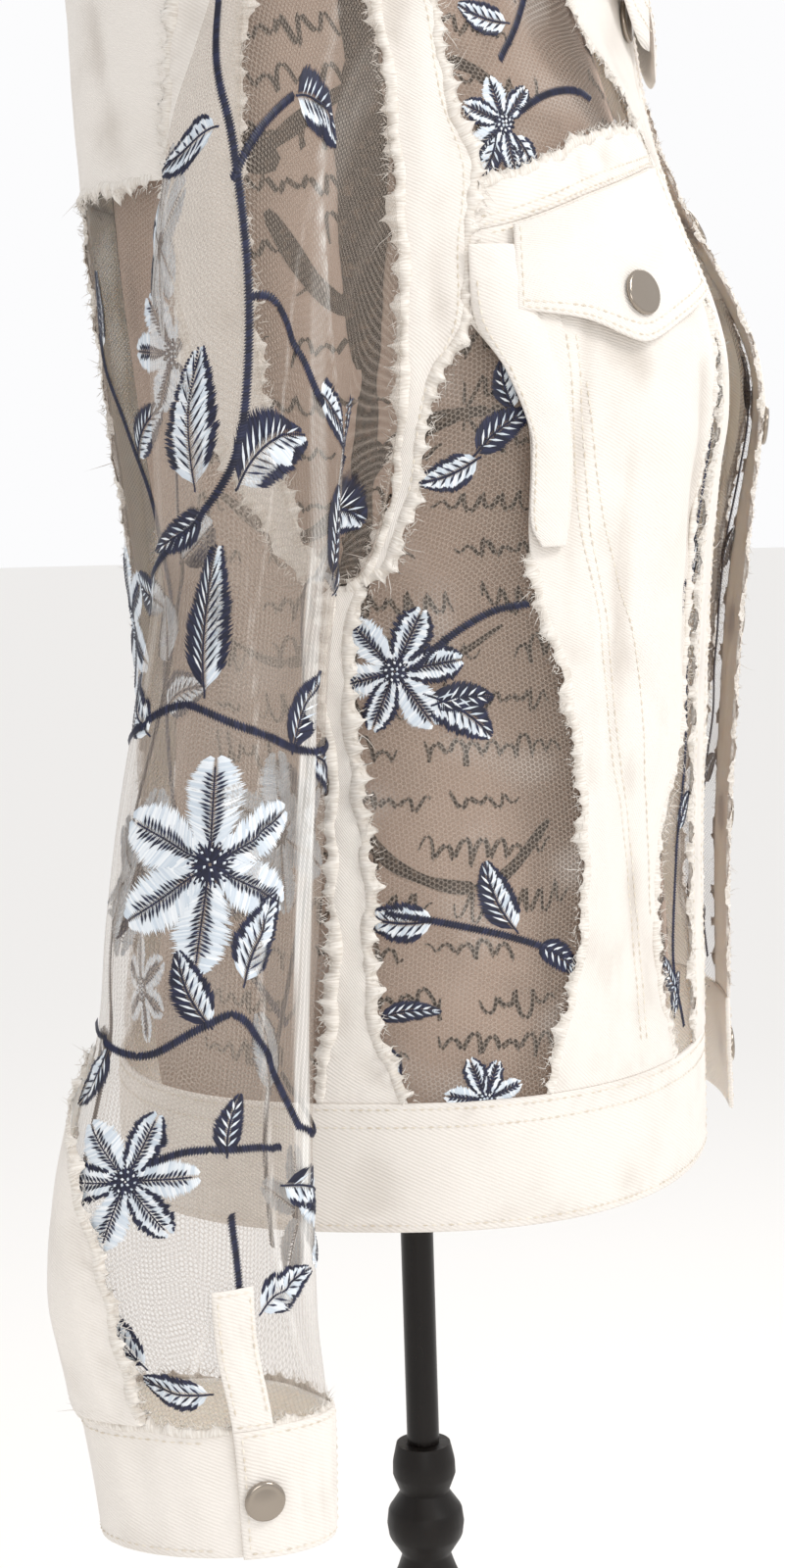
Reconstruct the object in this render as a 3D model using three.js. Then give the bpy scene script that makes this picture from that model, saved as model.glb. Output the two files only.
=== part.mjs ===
// Denim jacket with sheer net panels, worn open on a limbless dress form with a turned stand.
// Millimetres, +Z up, floor at Z = 0, the jacket's front toward -Y and the wearer's right toward -X.
import * as THREE from 'three';

// Cloth and seams. A slant gap is wider, for seams that run across the rows of a panel.
const DENIM = 2;
const NET = 1;
const SEAM_GAP = 0.4;
const SLANT_GAP = 2.4;
const LAY_GAP = 0.3;
const EDGE_CLEAR = 0.2;
const SLEEVE_LAY = 2.2;
const TAB_LAY = 0.4;
const FRAY_HEIGHT = 2.4;
const FRAY_STEP = 9;
const BORDER_PASSES = 8;
const LONGEST_ROW = 34;
const WIDEST_INSET = 0.4;

// Heights above the floor
const HEM_HEIGHT = 800;
const POST_TOP = 655;
const BASE_HEIGHT = 30;

// Levels are millimetres above the hem, measured at the side seam
const BAND_TOP = 50;
const NECK_LEVEL = 558;
const YOKE_BACK_LEVEL = 392;
const UNDERARM_LEVEL = 244;
const ARMHOLE_TOP = 496;
const STRIP_TOP = 513;
const SHOULDER_AROUND = 92;

// Rings of the body, one row for each level. Depths are from the form's axis, and front and rear
// are the heights of the ring at centre front and centre back.
const BODY_RINGS = [
  { level: 0, half: 157, frontRight: 126, frontLeft: 138, back: 118, square: 2.5, front: 0, rear: 0 },
  { level: 50, half: 158, frontRight: 126, frontLeft: 137, back: 117, square: 2.5, front: 50, rear: 50 },
  { level: 120, half: 156, frontRight: 126, frontLeft: 138, back: 110, square: 2.5, front: 120, rear: 120 },
  { level: 195, half: 155, frontRight: 129, frontLeft: 143, back: 105, square: 2.5, front: 195, rear: 195 },
  { level: 265, half: 160, frontRight: 132, frontLeft: 148, back: 108, square: 2.4, front: 265, rear: 265 },
  { level: 330, half: 166, frontRight: 134, frontLeft: 147, back: 114, square: 2.4, front: 330, rear: 332 },
  { level: 400, half: 169, frontRight: 115, frontLeft: 120, back: 119, square: 2.3, front: 397, rear: 406 },
  { level: 455, half: 171, frontRight: 107, frontLeft: 108, back: 121, square: 2.2, front: 434, rear: 464 },
  { level: 498, half: 169, frontRight: 104, frontLeft: 104, back: 116, square: 2.1, front: 460, rear: 504 },
  { level: 535, half: 116, frontRight: 98, frontLeft: 98, back: 86, square: 2.0, front: 473, rear: 534 },
  { level: 558, half: 80, frontRight: 93, frontLeft: 93, back: 60, square: 2.0, front: 480, rear: 550 },
];
const BUST = { around: 31, level: 318, spread: 20, tall: 60, riseRight: 9, riseLeft: 13 };

// Seams of the right half: the angle around the axis from centre front at each level
const OPENING_EDGE = [
  { level: 0, around: 12 },
  { level: 330, around: 13 },
  { level: 400, around: 15 },
  { level: 475, around: 21 },
  { level: 558, around: 22 },
];
const PLACKET_SEAM = [
  { level: 0, around: 26 },
  { level: 200, around: 26 },
  { level: 330, around: 27 },
  { level: 402, around: 28 },
  { level: 418, around: 32 },
  { level: 436, around: 40 },
  { level: 455, around: 52 },
  { level: 498, around: 57 },
  { level: 558, around: 58 },
];
const PANEL_FRONT = [
  { level: 50, around: 36 },
  { level: 66, around: 38.5 },
  { level: 90, around: 41.5 },
  { level: 140, around: 40.5 },
  { level: 174, around: 33.5 },
  { level: 215, around: 31 },
  { level: 274, around: 31.5 },
  { level: 310, around: 30 },
  { level: 350, around: 28.4 },
];
const PANEL_BACK = [
  { level: 50, around: 64.5 },
  { level: 75, around: 61.5 },
  { level: 110, around: 58 },
  { level: 160, around: 57.5 },
  { level: 205, around: 60 },
  { level: 250, around: 65 },
  { level: 298, around: 65.4 },
  { level: 320, around: 68.5 },
  { level: 337, around: 73 },
];
const ARM_STRIP_FRONT = [
  { level: 244, around: 87.6 },
  { level: 250, around: 84.6 },
  { level: 262, around: 82.3 },
  { level: 280, around: 80.4 },
  { level: 313, around: 78.2 },
  { level: 337, around: 73.6 },
  { level: 364, around: 73 },
  { level: 392, around: 71.8 },
  { level: 416, around: 74.8 },
  { level: 450, around: 76.5 },
  { level: 482, around: 80 },
  { level: 500, around: 85.5 },
  { level: 513, around: 90.4 },
];
const ARM_STRIP_BACK = [
  { level: 244, around: 92.2 },
  { level: 250, around: 95.6 },
  { level: 262, around: 98.5 },
  { level: 300, around: 106 },
  { level: 340, around: 110 },
  { level: 400, around: 111 },
  { level: 450, around: 109 },
  { level: 482, around: 105 },
  { level: 500, around: 99.5 },
  { level: 513, around: 93.6 },
];
const SIDE_STRIP_FRONT = [
  { level: 50, around: 83.5 },
  { level: 75, around: 87.3 },
  { level: 104, around: 88.4 },
  { level: 134, around: 87.8 },
  { level: 170, around: 89.2 },
  { level: 211, around: 90 },
  { level: 235, around: 88.6 },
  { level: 244, around: 87.6 },
];
const SIDE_STRIP_BACK = [
  { level: 50, around: 96 },
  { level: 75, around: 94 },
  { level: 104, around: 92.8 },
  { level: 134, around: 93.1 },
  { level: 170, around: 92.6 },
  { level: 211, around: 93.6 },
  { level: 235, around: 91.8 },
  { level: 244, around: 92.2 },
];
const BACK_PANEL_EDGE = [
  { level: 50, around: 167 },
  { level: 160, around: 164 },
  { level: 300, around: 157 },
  { level: 392, around: 152 },
];
const CHEST_SEAM = [
  { around: 27, level: 402 },
  { around: 34, level: 399 },
  { around: 53, level: 385 },
  { around: 66, level: 373 },
  { around: 74, level: 368 },
];
const CHEST_TOP = [
  { around: 27, level: 421 },
  { around: 36, level: 416 },
  { around: 51, level: 408 },
  { around: 62, level: 395 },
  { around: 74, level: 383 },
];

// Pocket flap, from its front edge to its back edge
const FLAP = { front: 31, back: 67.5, tip: 49, standOff: 2.6, hinge: 400, foot: 330 };
const FLAP_BOTTOM = [
  { around: 31, level: 347 },
  { around: 40, level: 338 },
  { around: 47, level: 330 },
  { around: 49, level: 329 },
  { around: 51, level: 330 },
  { around: 58, level: 337 },
  { around: 67.5, level: 341 },
];

// Armhole: centre angle at mid height, its lean, and its half widths to the front and the back
const ARMHOLE = {
  centre: 91, lean: 1, frontWidth: 10, backWidth: 9.5, round: 2.2, shrink: 0.975, clear: 0.6,
};

// Sleeve stations along its length. Each section is a flat ring turned by angle about a hinge line
// under the arm; inner and reach are its near and far sides from that line.
const SLEEVE = [
  { along: 0, angle: 0, hingeX: 164, hingeLevel: 244, inner: 2, reach: 251, middle: 1, half: 27 },
  { along: 24, angle: 10, hingeX: 166, hingeLevel: 244, inner: 3, reach: 238, middle: 13, half: 31 },
  { along: 48, angle: 20, hingeX: 167.5, hingeLevel: 244, inner: 3, reach: 209, middle: 19, half: 31 },
  { along: 74, angle: 32, hingeX: 168, hingeLevel: 244, inner: 3, reach: 170, middle: 21, half: 31 },
  { along: 104, angle: 50, hingeX: 168, hingeLevel: 244, inner: 3, reach: 122, middle: 23, half: 30.5 },
  { along: 132, angle: 70, hingeX: 168, hingeLevel: 244, inner: 3, reach: 94, middle: 25, half: 30 },
  { along: 160, angle: 90, hingeX: 168, hingeLevel: 242, inner: 3, reach: 83, middle: 28, half: 30 },
  { along: 210, angle: 90, hingeX: 169, hingeLevel: 195, inner: 3, reach: 80, middle: 35, half: 33 },
  { along: 275, angle: 90, hingeX: 171, hingeLevel: 130, inner: 3, reach: 76, middle: 44, half: 37 },
  { along: 315, angle: 90, hingeX: 174, hingeLevel: 90, inner: 3, reach: 72, middle: 48, half: 38 },
  { along: 345, angle: 90, hingeX: 177, hingeLevel: 60, inner: 3, reach: 68, middle: 53, half: 42 },
  { along: 385, angle: 90, hingeX: 180, hingeLevel: 20, inner: 3, reach: 64, middle: 58, half: 45.5 },
  { along: 420, angle: 90, hingeX: 182, hingeLevel: -15, inner: 3, reach: 60, middle: 58, half: 46 },
  { along: 452, angle: 90, hingeX: 184, hingeLevel: -47, inner: 3, reach: 56, middle: 53, half: 45 },
  { along: 500, angle: 90, hingeX: 185, hingeLevel: -95, inner: 3, reach: 53, middle: 50, half: 42 },
];
const ARM_SEAM_RISE = 7;
const SLEEVE_HEAD_END = 66;
const SLEEVE_END = 452;
const CUFF_END = 500;
const SLEEVE_AROUND = 18;
const SLEEVE_FOLDS = { waves: 5, depth: 2.2, twist: 0.35, twistRun: 60, growRun: 90, fadeRun: 110 };
const SLEEVE_STRIP_OUTER = [
  { along: 322, around: 276 },
  { along: 345, around: 300 },
  { along: 385, around: 326 },
  { along: 420, around: 336 },
  { along: 451, around: 338 },
];
const SLEEVE_STRIP_INNER = [
  { along: 322, around: 262 },
  { along: 345, around: 256 },
  { along: 451, around: 250 },
];
const SLEEVE_TAB = { from: 20, to: 40, start: 400 };
const CUFF_TAB = { from: 20, to: 100 };
const SLEEVE_RUNS = [0, 7, 18, 32, 48, 62, 80, 100, 124, 150, 180, 215, 255, 300, 345, 373, 400, 426, 451.6];
const CUFF_RUNS = [452, 476, 500];

// Collar, measured from the neck seam: the stand, the roll and the leaf that lies on the shoulders
const COLLAR_STAND = [
  { out: 1.5, up: 3 },
  { out: 3, up: 15 },
  { out: 6, up: 27 },
  { out: 11, up: 33 },
  { out: 16.5, up: 30 },
];
const COLLAR_ROLL = 6;
const COLLAR_SECTIONS = 20;
const COLLAR_LEAF = [
  { around: 22, drop: 46 },
  { around: 34, drop: 62 },
  { around: 50, drop: 56 },
  { around: 90, drop: 54 },
  { around: 180, drop: 56 },
];
const COLLAR_LEAF_LIFT = [
  { share: 0.25, lift: 12.5 },
  { share: 0.55, lift: 8 },
  { share: 1, lift: 5.4 },
];

// Dress form: rings inside the jacket, then the bare neck
const FORM_RINGS = [
  { level: 10, half: 128, front: 92, back: 88, square: 2.3, middle: 10 },
  { level: 18, half: 142, front: 104, back: 100, square: 2.3, middle: 18 },
  { level: 60, half: 148, front: 112, back: 106, square: 2.3, middle: 60 },
  { level: 120, half: 141, front: 110, back: 98, square: 2.3, middle: 120 },
  { level: 190, half: 134, front: 106, back: 92, square: 2.3, middle: 190 },
  { level: 260, half: 141, front: 114, back: 96, square: 2.3, middle: 260 },
  { level: 320, half: 151, front: 122, back: 102, square: 2.3, middle: 320 },
  { level: 380, half: 156, front: 110, back: 108, square: 2.2, middle: 380 },
  { level: 440, half: 158, front: 96, back: 110, square: 2.1, middle: 426 },
  { level: 480, half: 154, front: 86, back: 104, square: 2.1, middle: 460 },
  { level: 522, half: 118, front: 74, back: 82, square: 2, middle: 507 },
  { level: 544, half: 76, front: 64, back: 56, square: 2, middle: 533 },
  { level: 556, half: 60, front: 56, back: 48, square: 2, middle: 556 },
  { level: 600, half: 56, front: 54, back: 50, square: 2, middle: 600 },
  { level: 640, half: 57, front: 56, back: 52, square: 2, middle: 640 },
];
const FORM_AROUND = 22;

// Stand, turned about the axis: radius at each height above the floor
const POLE_RADIUS = 7.2;
const POLE_PLATE = { radius: 15.7, height: 6 };
const POST = [
  { height: BASE_HEIGHT + LAY_GAP, radius: 30 },
  { height: 44, radius: 32 },
  { height: 56, radius: 24 },
  { height: 72, radius: 17 },
  { height: 110, radius: 15 },
  { height: 170, radius: 19 },
  { height: 250, radius: 21 },
  { height: 330, radius: 18 },
  { height: 372, radius: 14 },
  { height: 384, radius: 19 },
  { height: 396, radius: 14 },
  { height: 440, radius: 16.5 },
  { height: 590, radius: 16 },
  { height: 603, radius: 11 },
  { height: 613, radius: 16.5 },
  { height: 624, radius: 16.5 },
  { height: 633, radius: 11 },
  { height: 641, radius: 14 },
  { height: POST_TOP, radius: 12 },
];
const BASE = [
  { height: 0, radius: 176 },
  { height: 4, radius: 180 },
  { height: 12, radius: 180 },
  { height: 18, radius: 170 },
  { height: 24, radius: 110 },
  { height: BASE_HEIGHT, radius: 60 },
];
const NECK_CAP = [
  { height: 0, radius: 46 },
  { height: 3, radius: 49 },
  { height: 8, radius: 49 },
  { height: 13, radius: 40 },
  { height: 18, radius: 14 },
  { height: 26, radius: 11 },
  { height: 34, radius: 15 },
  { height: 42, radius: 13 },
  { height: 47, radius: 5 },
];
const LATHE_SIDES = 16;

// Snap fasteners
const SNAP = { radius: 8.6, foot: 0.8, rim: 1.04, shoulder: 0.6, height: 2.6, dome: 0.9, seat: 0.45 };
const SMALL_SNAP = { radius: 7.4, foot: 0.8, rim: 0.96, shoulder: 0.6, height: 2.4, dome: 0.8, seat: 0.45 };
const SNAP_SIDES = 12;
const SNAP_INSET = 8;
const POCKET_SNAP_LEVEL = 346;
const COLLAR_SNAP = { around: 31, level: 476 };
const PLACKET_SNAP_LEVELS = [385, 300, 215, 130];
const CUFF_SNAP = { around: 32, run: 478 };

const DEGREE = Math.PI / 180;
const FULL_TURN = 360;

// Soft folds that the cloth keeps: height in mm, and how they repeat or where they lie
const NET_FOLD = { height: 2.4, perDegree: 0.32, lean: 0.02, perLevel: 0.027, shift: 1 };
const BACK_FOLD = { height: 3, start: 110, perDegree: 0.21, lean: 0.006 };
const PANEL_FOLDS = [
  { height: 3.4, around: 41, wide: 5, level: 285, tall: 50 },
  { height: 3, around: 63, wide: 2.6, level: 300, tall: 34 },
];

const COLOURS = {
  denim: { color: 0xf1ece4, roughness: 0.9, metalness: 0 },
  net: { color: 0xd9d4cb, roughness: 0.8, metalness: 0 },
  metal: { color: 0x8d8273, roughness: 0.25, metalness: 1 },
  cover: { color: 0xb49a82, roughness: 0.85, metalness: 0 },
  black: { color: 0x141210, roughness: 0.35, metalness: 0 },
};

const jacket = new THREE.Group();

function addPiece(name, colour, geometry) {
  const mesh = new THREE.Mesh(geometry, new THREE.MeshStandardMaterial(COLOURS[colour]));
  mesh.name = name;
  jacket.add(mesh);
  return mesh;
}

// Smooth row between the table's rows at a value of its key column
function rowAt(rows, key, value) {
  let index = 0;
  while (index < rows.length - 2 && value > rows[index + 1][key]) index += 1;
  const before = rows[Math.max(index - 1, 0)];
  const low = rows[index];
  const high = rows[index + 1];
  const after = rows[Math.min(index + 2, rows.length - 1)];
  const span = high[key] - low[key];
  const t = THREE.MathUtils.clamp((value - low[key]) / span, 0, 1);
  const row = {};
  for (const column of Object.keys(low)) {
    const slopeIn = ((high[column] - before[column]) / (high[key] - before[key])) * span;
    const slopeOut = ((after[column] - low[column]) / (after[key] - low[key])) * span;
    row[column] = low[column] * (1 + 2 * t) * (1 - t) ** 2 + slopeIn * t * (1 - t) ** 2
      + high[column] * t * t * (3 - 2 * t) + slopeOut * t * t * (t - 1);
  }
  return row;
}

// Straight line between the rows of a seam table
function along(rows, key, column) {
  return (value) => {
    let index = 0;
    while (index < rows.length - 2 && value > rows[index + 1][key]) index += 1;
    const low = rows[index];
    const high = rows[index + 1];
    const t = THREE.MathUtils.clamp((value - low[key]) / (high[key] - low[key]), 0, 1);
    return THREE.MathUtils.lerp(low[column], high[column], t);
  };
}

const seam = (rows) => along(rows, 'level', 'around');

const openingEdge = seam(OPENING_EDGE);
const placketSeam = seam(PLACKET_SEAM);
const panelFront = seam(PANEL_FRONT);
const sideStripFront = seam(SIDE_STRIP_FRONT);
const sideStripBack = seam(SIDE_STRIP_BACK);
const backPanelEdge = seam(BACK_PANEL_EDGE);
const chestSeam = along(CHEST_SEAM, 'around', 'level');
const chestTop = along(CHEST_TOP, 'around', 'level');

function armStripFront(level) {
  return level > STRIP_TOP ? SHOULDER_AROUND : seam(ARM_STRIP_FRONT)(level);
}

function armStripBack(level) {
  return level > STRIP_TOP ? SHOULDER_AROUND : seam(ARM_STRIP_BACK)(level);
}

function panelBack(level) {
  const top = PANEL_BACK[PANEL_BACK.length - 1].level;
  return level > top ? armStripFront(level) - EDGE_CLEAR : seam(PANEL_BACK)(level);
}

// Angle of the armhole's edge: share is -1 at its bottom and 1 at its top
function armholeAround(share, toward, size = 1) {
  const open = (1 - Math.abs(share) ** ARMHOLE.round) ** (1 / ARMHOLE.round);
  const width = toward < 0 ? ARMHOLE.frontWidth : ARMHOLE.backWidth;
  return ARMHOLE.centre + ARMHOLE.lean * share + toward * width * size * open;
}

// Edge of the armhole in the body: toward is -1 for its front half and 1 for its back half
function armholeEdge(level, toward) {
  const centreLevel = (UNDERARM_LEVEL + ARMHOLE_TOP) / 2;
  const tall = (ARMHOLE_TOP - UNDERARM_LEVEL) / 2;
  const share = THREE.MathUtils.clamp((level - centreLevel) / tall, -1, 1);
  return armholeAround(share, toward);
}

// A point of an oval ring at an angle around from centre front
function ringPoint(ring, around, frontDepth, level) {
  const side = Math.sin(around * DEGREE);
  const ahead = Math.cos(around * DEGREE);
  const depth = ahead < 0 ? ring.back : frontDepth;
  const radius = ((Math.abs(side) / ring.half) ** ring.square
    + (Math.abs(ahead) / depth) ** ring.square) ** (-1 / ring.square);
  return new THREE.Vector3(-radius * side, -radius * ahead, level + HEM_HEIGHT);
}

function bodyPoint(around, level) {
  const ring = rowAt(BODY_RINGS, 'level', level);
  const onRight = around < FULL_TURN / 2;
  const ahead = Math.cos(around * DEGREE);
  const middle = ahead > 0 ? ring.front : ring.rear;
  const height = level + (middle - level) * ahead * ahead;
  const point = ringPoint(ring, around, onRight ? ring.frontRight : ring.frontLeft, height);
  const fromBust = Math.min(Math.abs(around - BUST.around), Math.abs(FULL_TURN - around - BUST.around));
  const rise = (onRight ? BUST.riseRight : BUST.riseLeft)
    * Math.exp(-((fromBust / BUST.spread) ** 2) - ((level - BUST.level) / BUST.tall) ** 2);
  const flat = Math.hypot(point.x, point.y);
  point.x *= 1 + rise / flat;
  point.y *= 1 + rise / flat;
  return point;
}

function normalOf(pointAt, around, level) {
  const step = 0.4;
  const across = pointAt(around + step, level).sub(pointAt(around - step, level));
  const upward = pointAt(around, level + step).sub(pointAt(around, level - step));
  return upward.cross(across).normalize();
}

// The body surface seen as one half: the left half is the mirror of the right one's angles
function bodyHalf(side) {
  const mirror = side === 'left';
  const pointAt = (around, level) => bodyPoint(mirror ? FULL_TURN - around : around, level);
  const clampLevel = (level) => THREE.MathUtils.clamp(level, 0.5, NECK_LEVEL - 0.5);
  return {
    pointAt,
    normalAt: (around, level) => {
      const normal = normalOf(pointAt, around, clampLevel(level));
      return mirror ? normal.negate() : normal;
    },
  };
}

// Sleeve section: a ring in the plane that the station's angle turns about the hinge line
function sleeveSection(station, around) {
  const radius = (station.reach - station.inner) / 2;
  const folds = SLEEVE_FOLDS.depth * Math.sin(SLEEVE_FOLDS.waves * around * DEGREE
    + SLEEVE_FOLDS.twist * Math.sin(station.along / SLEEVE_FOLDS.twistRun));
  const settled = Math.min(station.along / SLEEVE_FOLDS.growRun, 1)
    * Math.min((CUFF_END - station.along) / SLEEVE_FOLDS.fadeRun, 1);
  const fold = Math.max(settled, 0) * folds;
  const outFrom = station.inner + radius + (radius + fold) * Math.cos(around * DEGREE);
  const ahead = station.middle - (station.half + fold) * Math.sin(around * DEGREE);
  const turn = station.angle * DEGREE;
  return new THREE.Vector3(
    -(station.hingeX + outFrom * Math.sin(turn)),
    ahead,
    station.hingeLevel + outFrom * Math.cos(turn) + HEM_HEIGHT,
  );
}

// Point of the sleeve's first ring, a little inside the armhole's edge
function armholePoint(around) {
  const tall = (ARMHOLE_TOP - UNDERARM_LEVEL) / 2;
  const share = Math.cos(around * DEGREE);
  const level = UNDERARM_LEVEL + tall + (tall - ARMHOLE.clear) * share;
  const toward = Math.sin(around * DEGREE) > 0 ? -1 : 1;
  return bodyPoint(armholeAround(share, toward, ARMHOLE.shrink), level);
}

// Sleeve surface: its first ring is the armhole, and it turns into the hanging sections
function sleevePoint(around, run) {
  const section = sleeveSection(rowAt(SLEEVE, 'along', run), around);
  const blend = THREE.MathUtils.smoothstep(run, ARM_SEAM_RISE, SLEEVE_HEAD_END);
  const start = armholePoint(around);
  start.x -= Math.min(run, ARM_SEAM_RISE);
  return start.lerp(section, blend);
}

function sleeveHalf(side) {
  const mirror = side === 'left' ? -1 : 1;
  const pointAt = (around, run) => {
    const point = sleevePoint(around, run);
    point.x *= mirror;
    return point;
  };
  return {
    pointAt,
    normalAt: (around, run) => normalOf(pointAt, around, Math.max(run, 1)).multiplyScalar(mirror),
  };
}

// Closed wall between two grids of points, open at its four edges or closed in a ring
function wallGeometry(innerGrid, outerGrid, ring = false) {
  const rows = innerGrid.length;
  const columns = innerGrid[0].length;
  const points = [...innerGrid.flat(), ...outerGrid.flat()];
  const faces = [];
  const inner = (row, column) => row * columns + (column % columns);
  const outer = (row, column) => rows * columns + inner(row, column);
  const quad = (a, b, c, d) => faces.push(a, b, c, a, c, d);
  const lastColumn = ring ? columns : columns - 1;
  for (let row = 0; row < rows - 1; row += 1) {
    for (let column = 0; column < lastColumn; column += 1) {
      quad(outer(row, column), outer(row, column + 1), outer(row + 1, column + 1), outer(row + 1, column));
      quad(inner(row, column), inner(row + 1, column), inner(row + 1, column + 1), inner(row, column + 1));
    }
  }
  for (let column = 0; column < lastColumn; column += 1) {
    quad(inner(0, column), inner(0, column + 1), outer(0, column + 1), outer(0, column));
    quad(outer(rows - 1, column), outer(rows - 1, column + 1), inner(rows - 1, column + 1),
      inner(rows - 1, column));
  }
  for (let row = 0; !ring && row < rows - 1; row += 1) {
    quad(outer(row, 0), outer(row + 1, 0), inner(row + 1, 0), inner(row, 0));
    quad(inner(row, columns - 1), inner(row + 1, columns - 1), outer(row + 1, columns - 1),
      outer(row, columns - 1));
  }
  return facingOut(points, faces);
}

// Geometry from points and faces, turned round if its volume comes out negative
function facingOut(points, faces) {
  let volume = 0;
  for (let face = 0; face < faces.length; face += 3) {
    const [a, b, c] = [points[faces[face]], points[faces[face + 1]], points[faces[face + 2]]];
    volume += a.dot(new THREE.Vector3().crossVectors(b, c));
  }
  const turned = volume < 0 ? faces.reverse() : faces;
  const geometry = new THREE.BufferGeometry().setFromPoints(points);
  geometry.setIndex(turned);
  geometry.computeVertexNormals();
  return geometry;
}

// Place in the patch's borders for shares u and v of its width and height
function insideBorders(piece, u, v) {
  const startAround = 60;
  let level = THREE.MathUtils.lerp(piece.bottom(startAround), piece.top(startAround), v);
  let around = THREE.MathUtils.lerp(piece.left(level), piece.right(level), u);
  for (let pass = 0; pass < BORDER_PASSES; pass += 1) {
    level = THREE.MathUtils.lerp(piece.bottom(around), piece.top(around), v);
    around = THREE.MathUtils.lerp(piece.left(level), piece.right(level), u);
  }
  return { around, level };
}

// Cloth patch on a surface, between four seams, as a wall of its own thickness
function clothPatch(surface, piece) {
  const { columns, rows, wall, ruffle = {}, fold } = piece;
  const lift = piece.lift ?? (() => 0);
  const gap = piece.gap ?? SEAM_GAP;
  const rowShares = piece.rowShares ?? Array.from({ length: rows + 1 }, (_, row) => row / rows);
  const columnShares = Array.from({ length: columns + 1 }, (_, column) => column / columns);
  const spot = (u, v) => insideBorders(piece, u, v);
  const pointAt = (place) => surface.pointAt(place.around, place.level);
  const innerGrid = [];
  const outerGrid = [];
  rowShares.forEach((v, row) => {
    const width = pointAt(spot(0, v)).distanceTo(pointAt(spot(1, v)));
    const inset = Math.min(gap / 2 / width, WIDEST_INSET);
    const innerRow = [];
    const outerRow = [];
    columnShares.forEach((u, column) => {
      const height = pointAt(spot(u, 0)).distanceTo(pointAt(spot(u, 1)));
      const rise = gap / 2 / height;
      const place = spot(inset + u * (1 - 2 * inset), rise + v * (1 - 2 * rise));
      const normal = surface.normalAt(place.around, place.level);
      const crest = FRAY_HEIGHT * ruffleAt(ruffle, row, column, rowShares.length - 1, columns);
      const raise = lift(place.level) + crest + (fold ? fold(place.around, place.level) * fade(u, v) : 0);
      const inner = pointAt(place).addScaledVector(normal, raise);
      innerRow.push(inner);
      outerRow.push(inner.clone().addScaledVector(normal, wall));
    });
    innerGrid.push(innerRow);
    outerGrid.push(outerRow);
  });
  return wallGeometry(innerGrid, outerGrid);
}

// Folds die out at a patch's seams
function fade(u, v) {
  return Math.min(1, 4 * Math.sin(Math.PI * u)) * Math.min(1, 4 * Math.sin(Math.PI * v));
}

// Frayed edges stand up in waves: every other step along an edge is a crest
function ruffleAt(ruffle, row, column, lastRow, lastColumn) {
  const crestRow = row % 2 === 1 && row < lastRow;
  const crestColumn = column % 2 === 1 && column < lastColumn;
  const level = row / lastRow;
  if (ruffle.left && column === 0 && crestRow && level < (ruffle.leftTo ?? 1)) return 1;
  if (ruffle.right && column === lastColumn && crestRow && level < (ruffle.rightTo ?? 1)) return 1;
  if (ruffle.top && row === lastRow && crestColumn) return 1;
  if (ruffle.bottom && row === 0 && crestColumn) return 1;
  return 0;
}

function netFold(around, level) {
  const across = Math.sin(around * NET_FOLD.perDegree + level * NET_FOLD.lean);
  const wave = across * Math.sin(level * NET_FOLD.perLevel + NET_FOLD.shift);
  return NET_FOLD.height * wave * wave;
}

function backFold(around, level) {
  const wave = Math.sin((around - BACK_FOLD.start) * BACK_FOLD.perDegree + level * BACK_FOLD.lean);
  return BACK_FOLD.height * wave * wave;
}

// The panel's long soft hollow under the flap, and the ridge of its tuck
function panelFold(around, level) {
  let height = 0;
  for (const fold of PANEL_FOLDS) {
    const across = (around - fold.around) / fold.wide;
    const along = (level - fold.level) / fold.tall;
    height += fold.height * Math.exp(-across * across - along * along);
  }
  return height;
}

// Row shares of a panel: its rows meet every bend of the seams at its two sides
function seamShares(tables, from, to, longest = LONGEST_ROW) {
  const levels = tables.flat().map((row) => row.level).filter((height) => height > from && height < to);
  const sorted = [from, ...levels.sort((a, b) => a - b), to];
  const kept = sorted.filter((height, index) => index === 0 || height - sorted[index - 1] > 2);
  if (kept[kept.length - 1] !== to) kept[kept.length - 1] = to;
  const shares = [];
  kept.forEach((height, index) => {
    const next = kept[index + 1] ?? height;
    const parts = Math.max(1, Math.ceil((next - height) / longest));
    for (let part = 0; part < parts; part += 1) {
      shares.push((height + ((next - height) * part) / parts - from) / (to - from));
    }
  });
  return shares;
}

// Row shares of an armhole strip: evenly round the armhole's edge, then up to the shoulder seam
function armStripShares(parts) {
  const tall = ARMHOLE_TOP - UNDERARM_LEVEL;
  const whole = STRIP_TOP - UNDERARM_LEVEL;
  const shares = [];
  for (let part = 0; part <= parts; part += 1) {
    shares.push((tall / whole) * (1 - Math.cos((Math.PI * part) / parts)) / 2);
  }
  shares.push(1);
  return shares;
}

// Even number of rows along an edge, so that the waves of its fray close
function steps(length) {
  return 2 * Math.round(length / FRAY_STEP / 2);
}

// Border or lift that is the same all along
const always = (value) => () => value;

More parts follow.
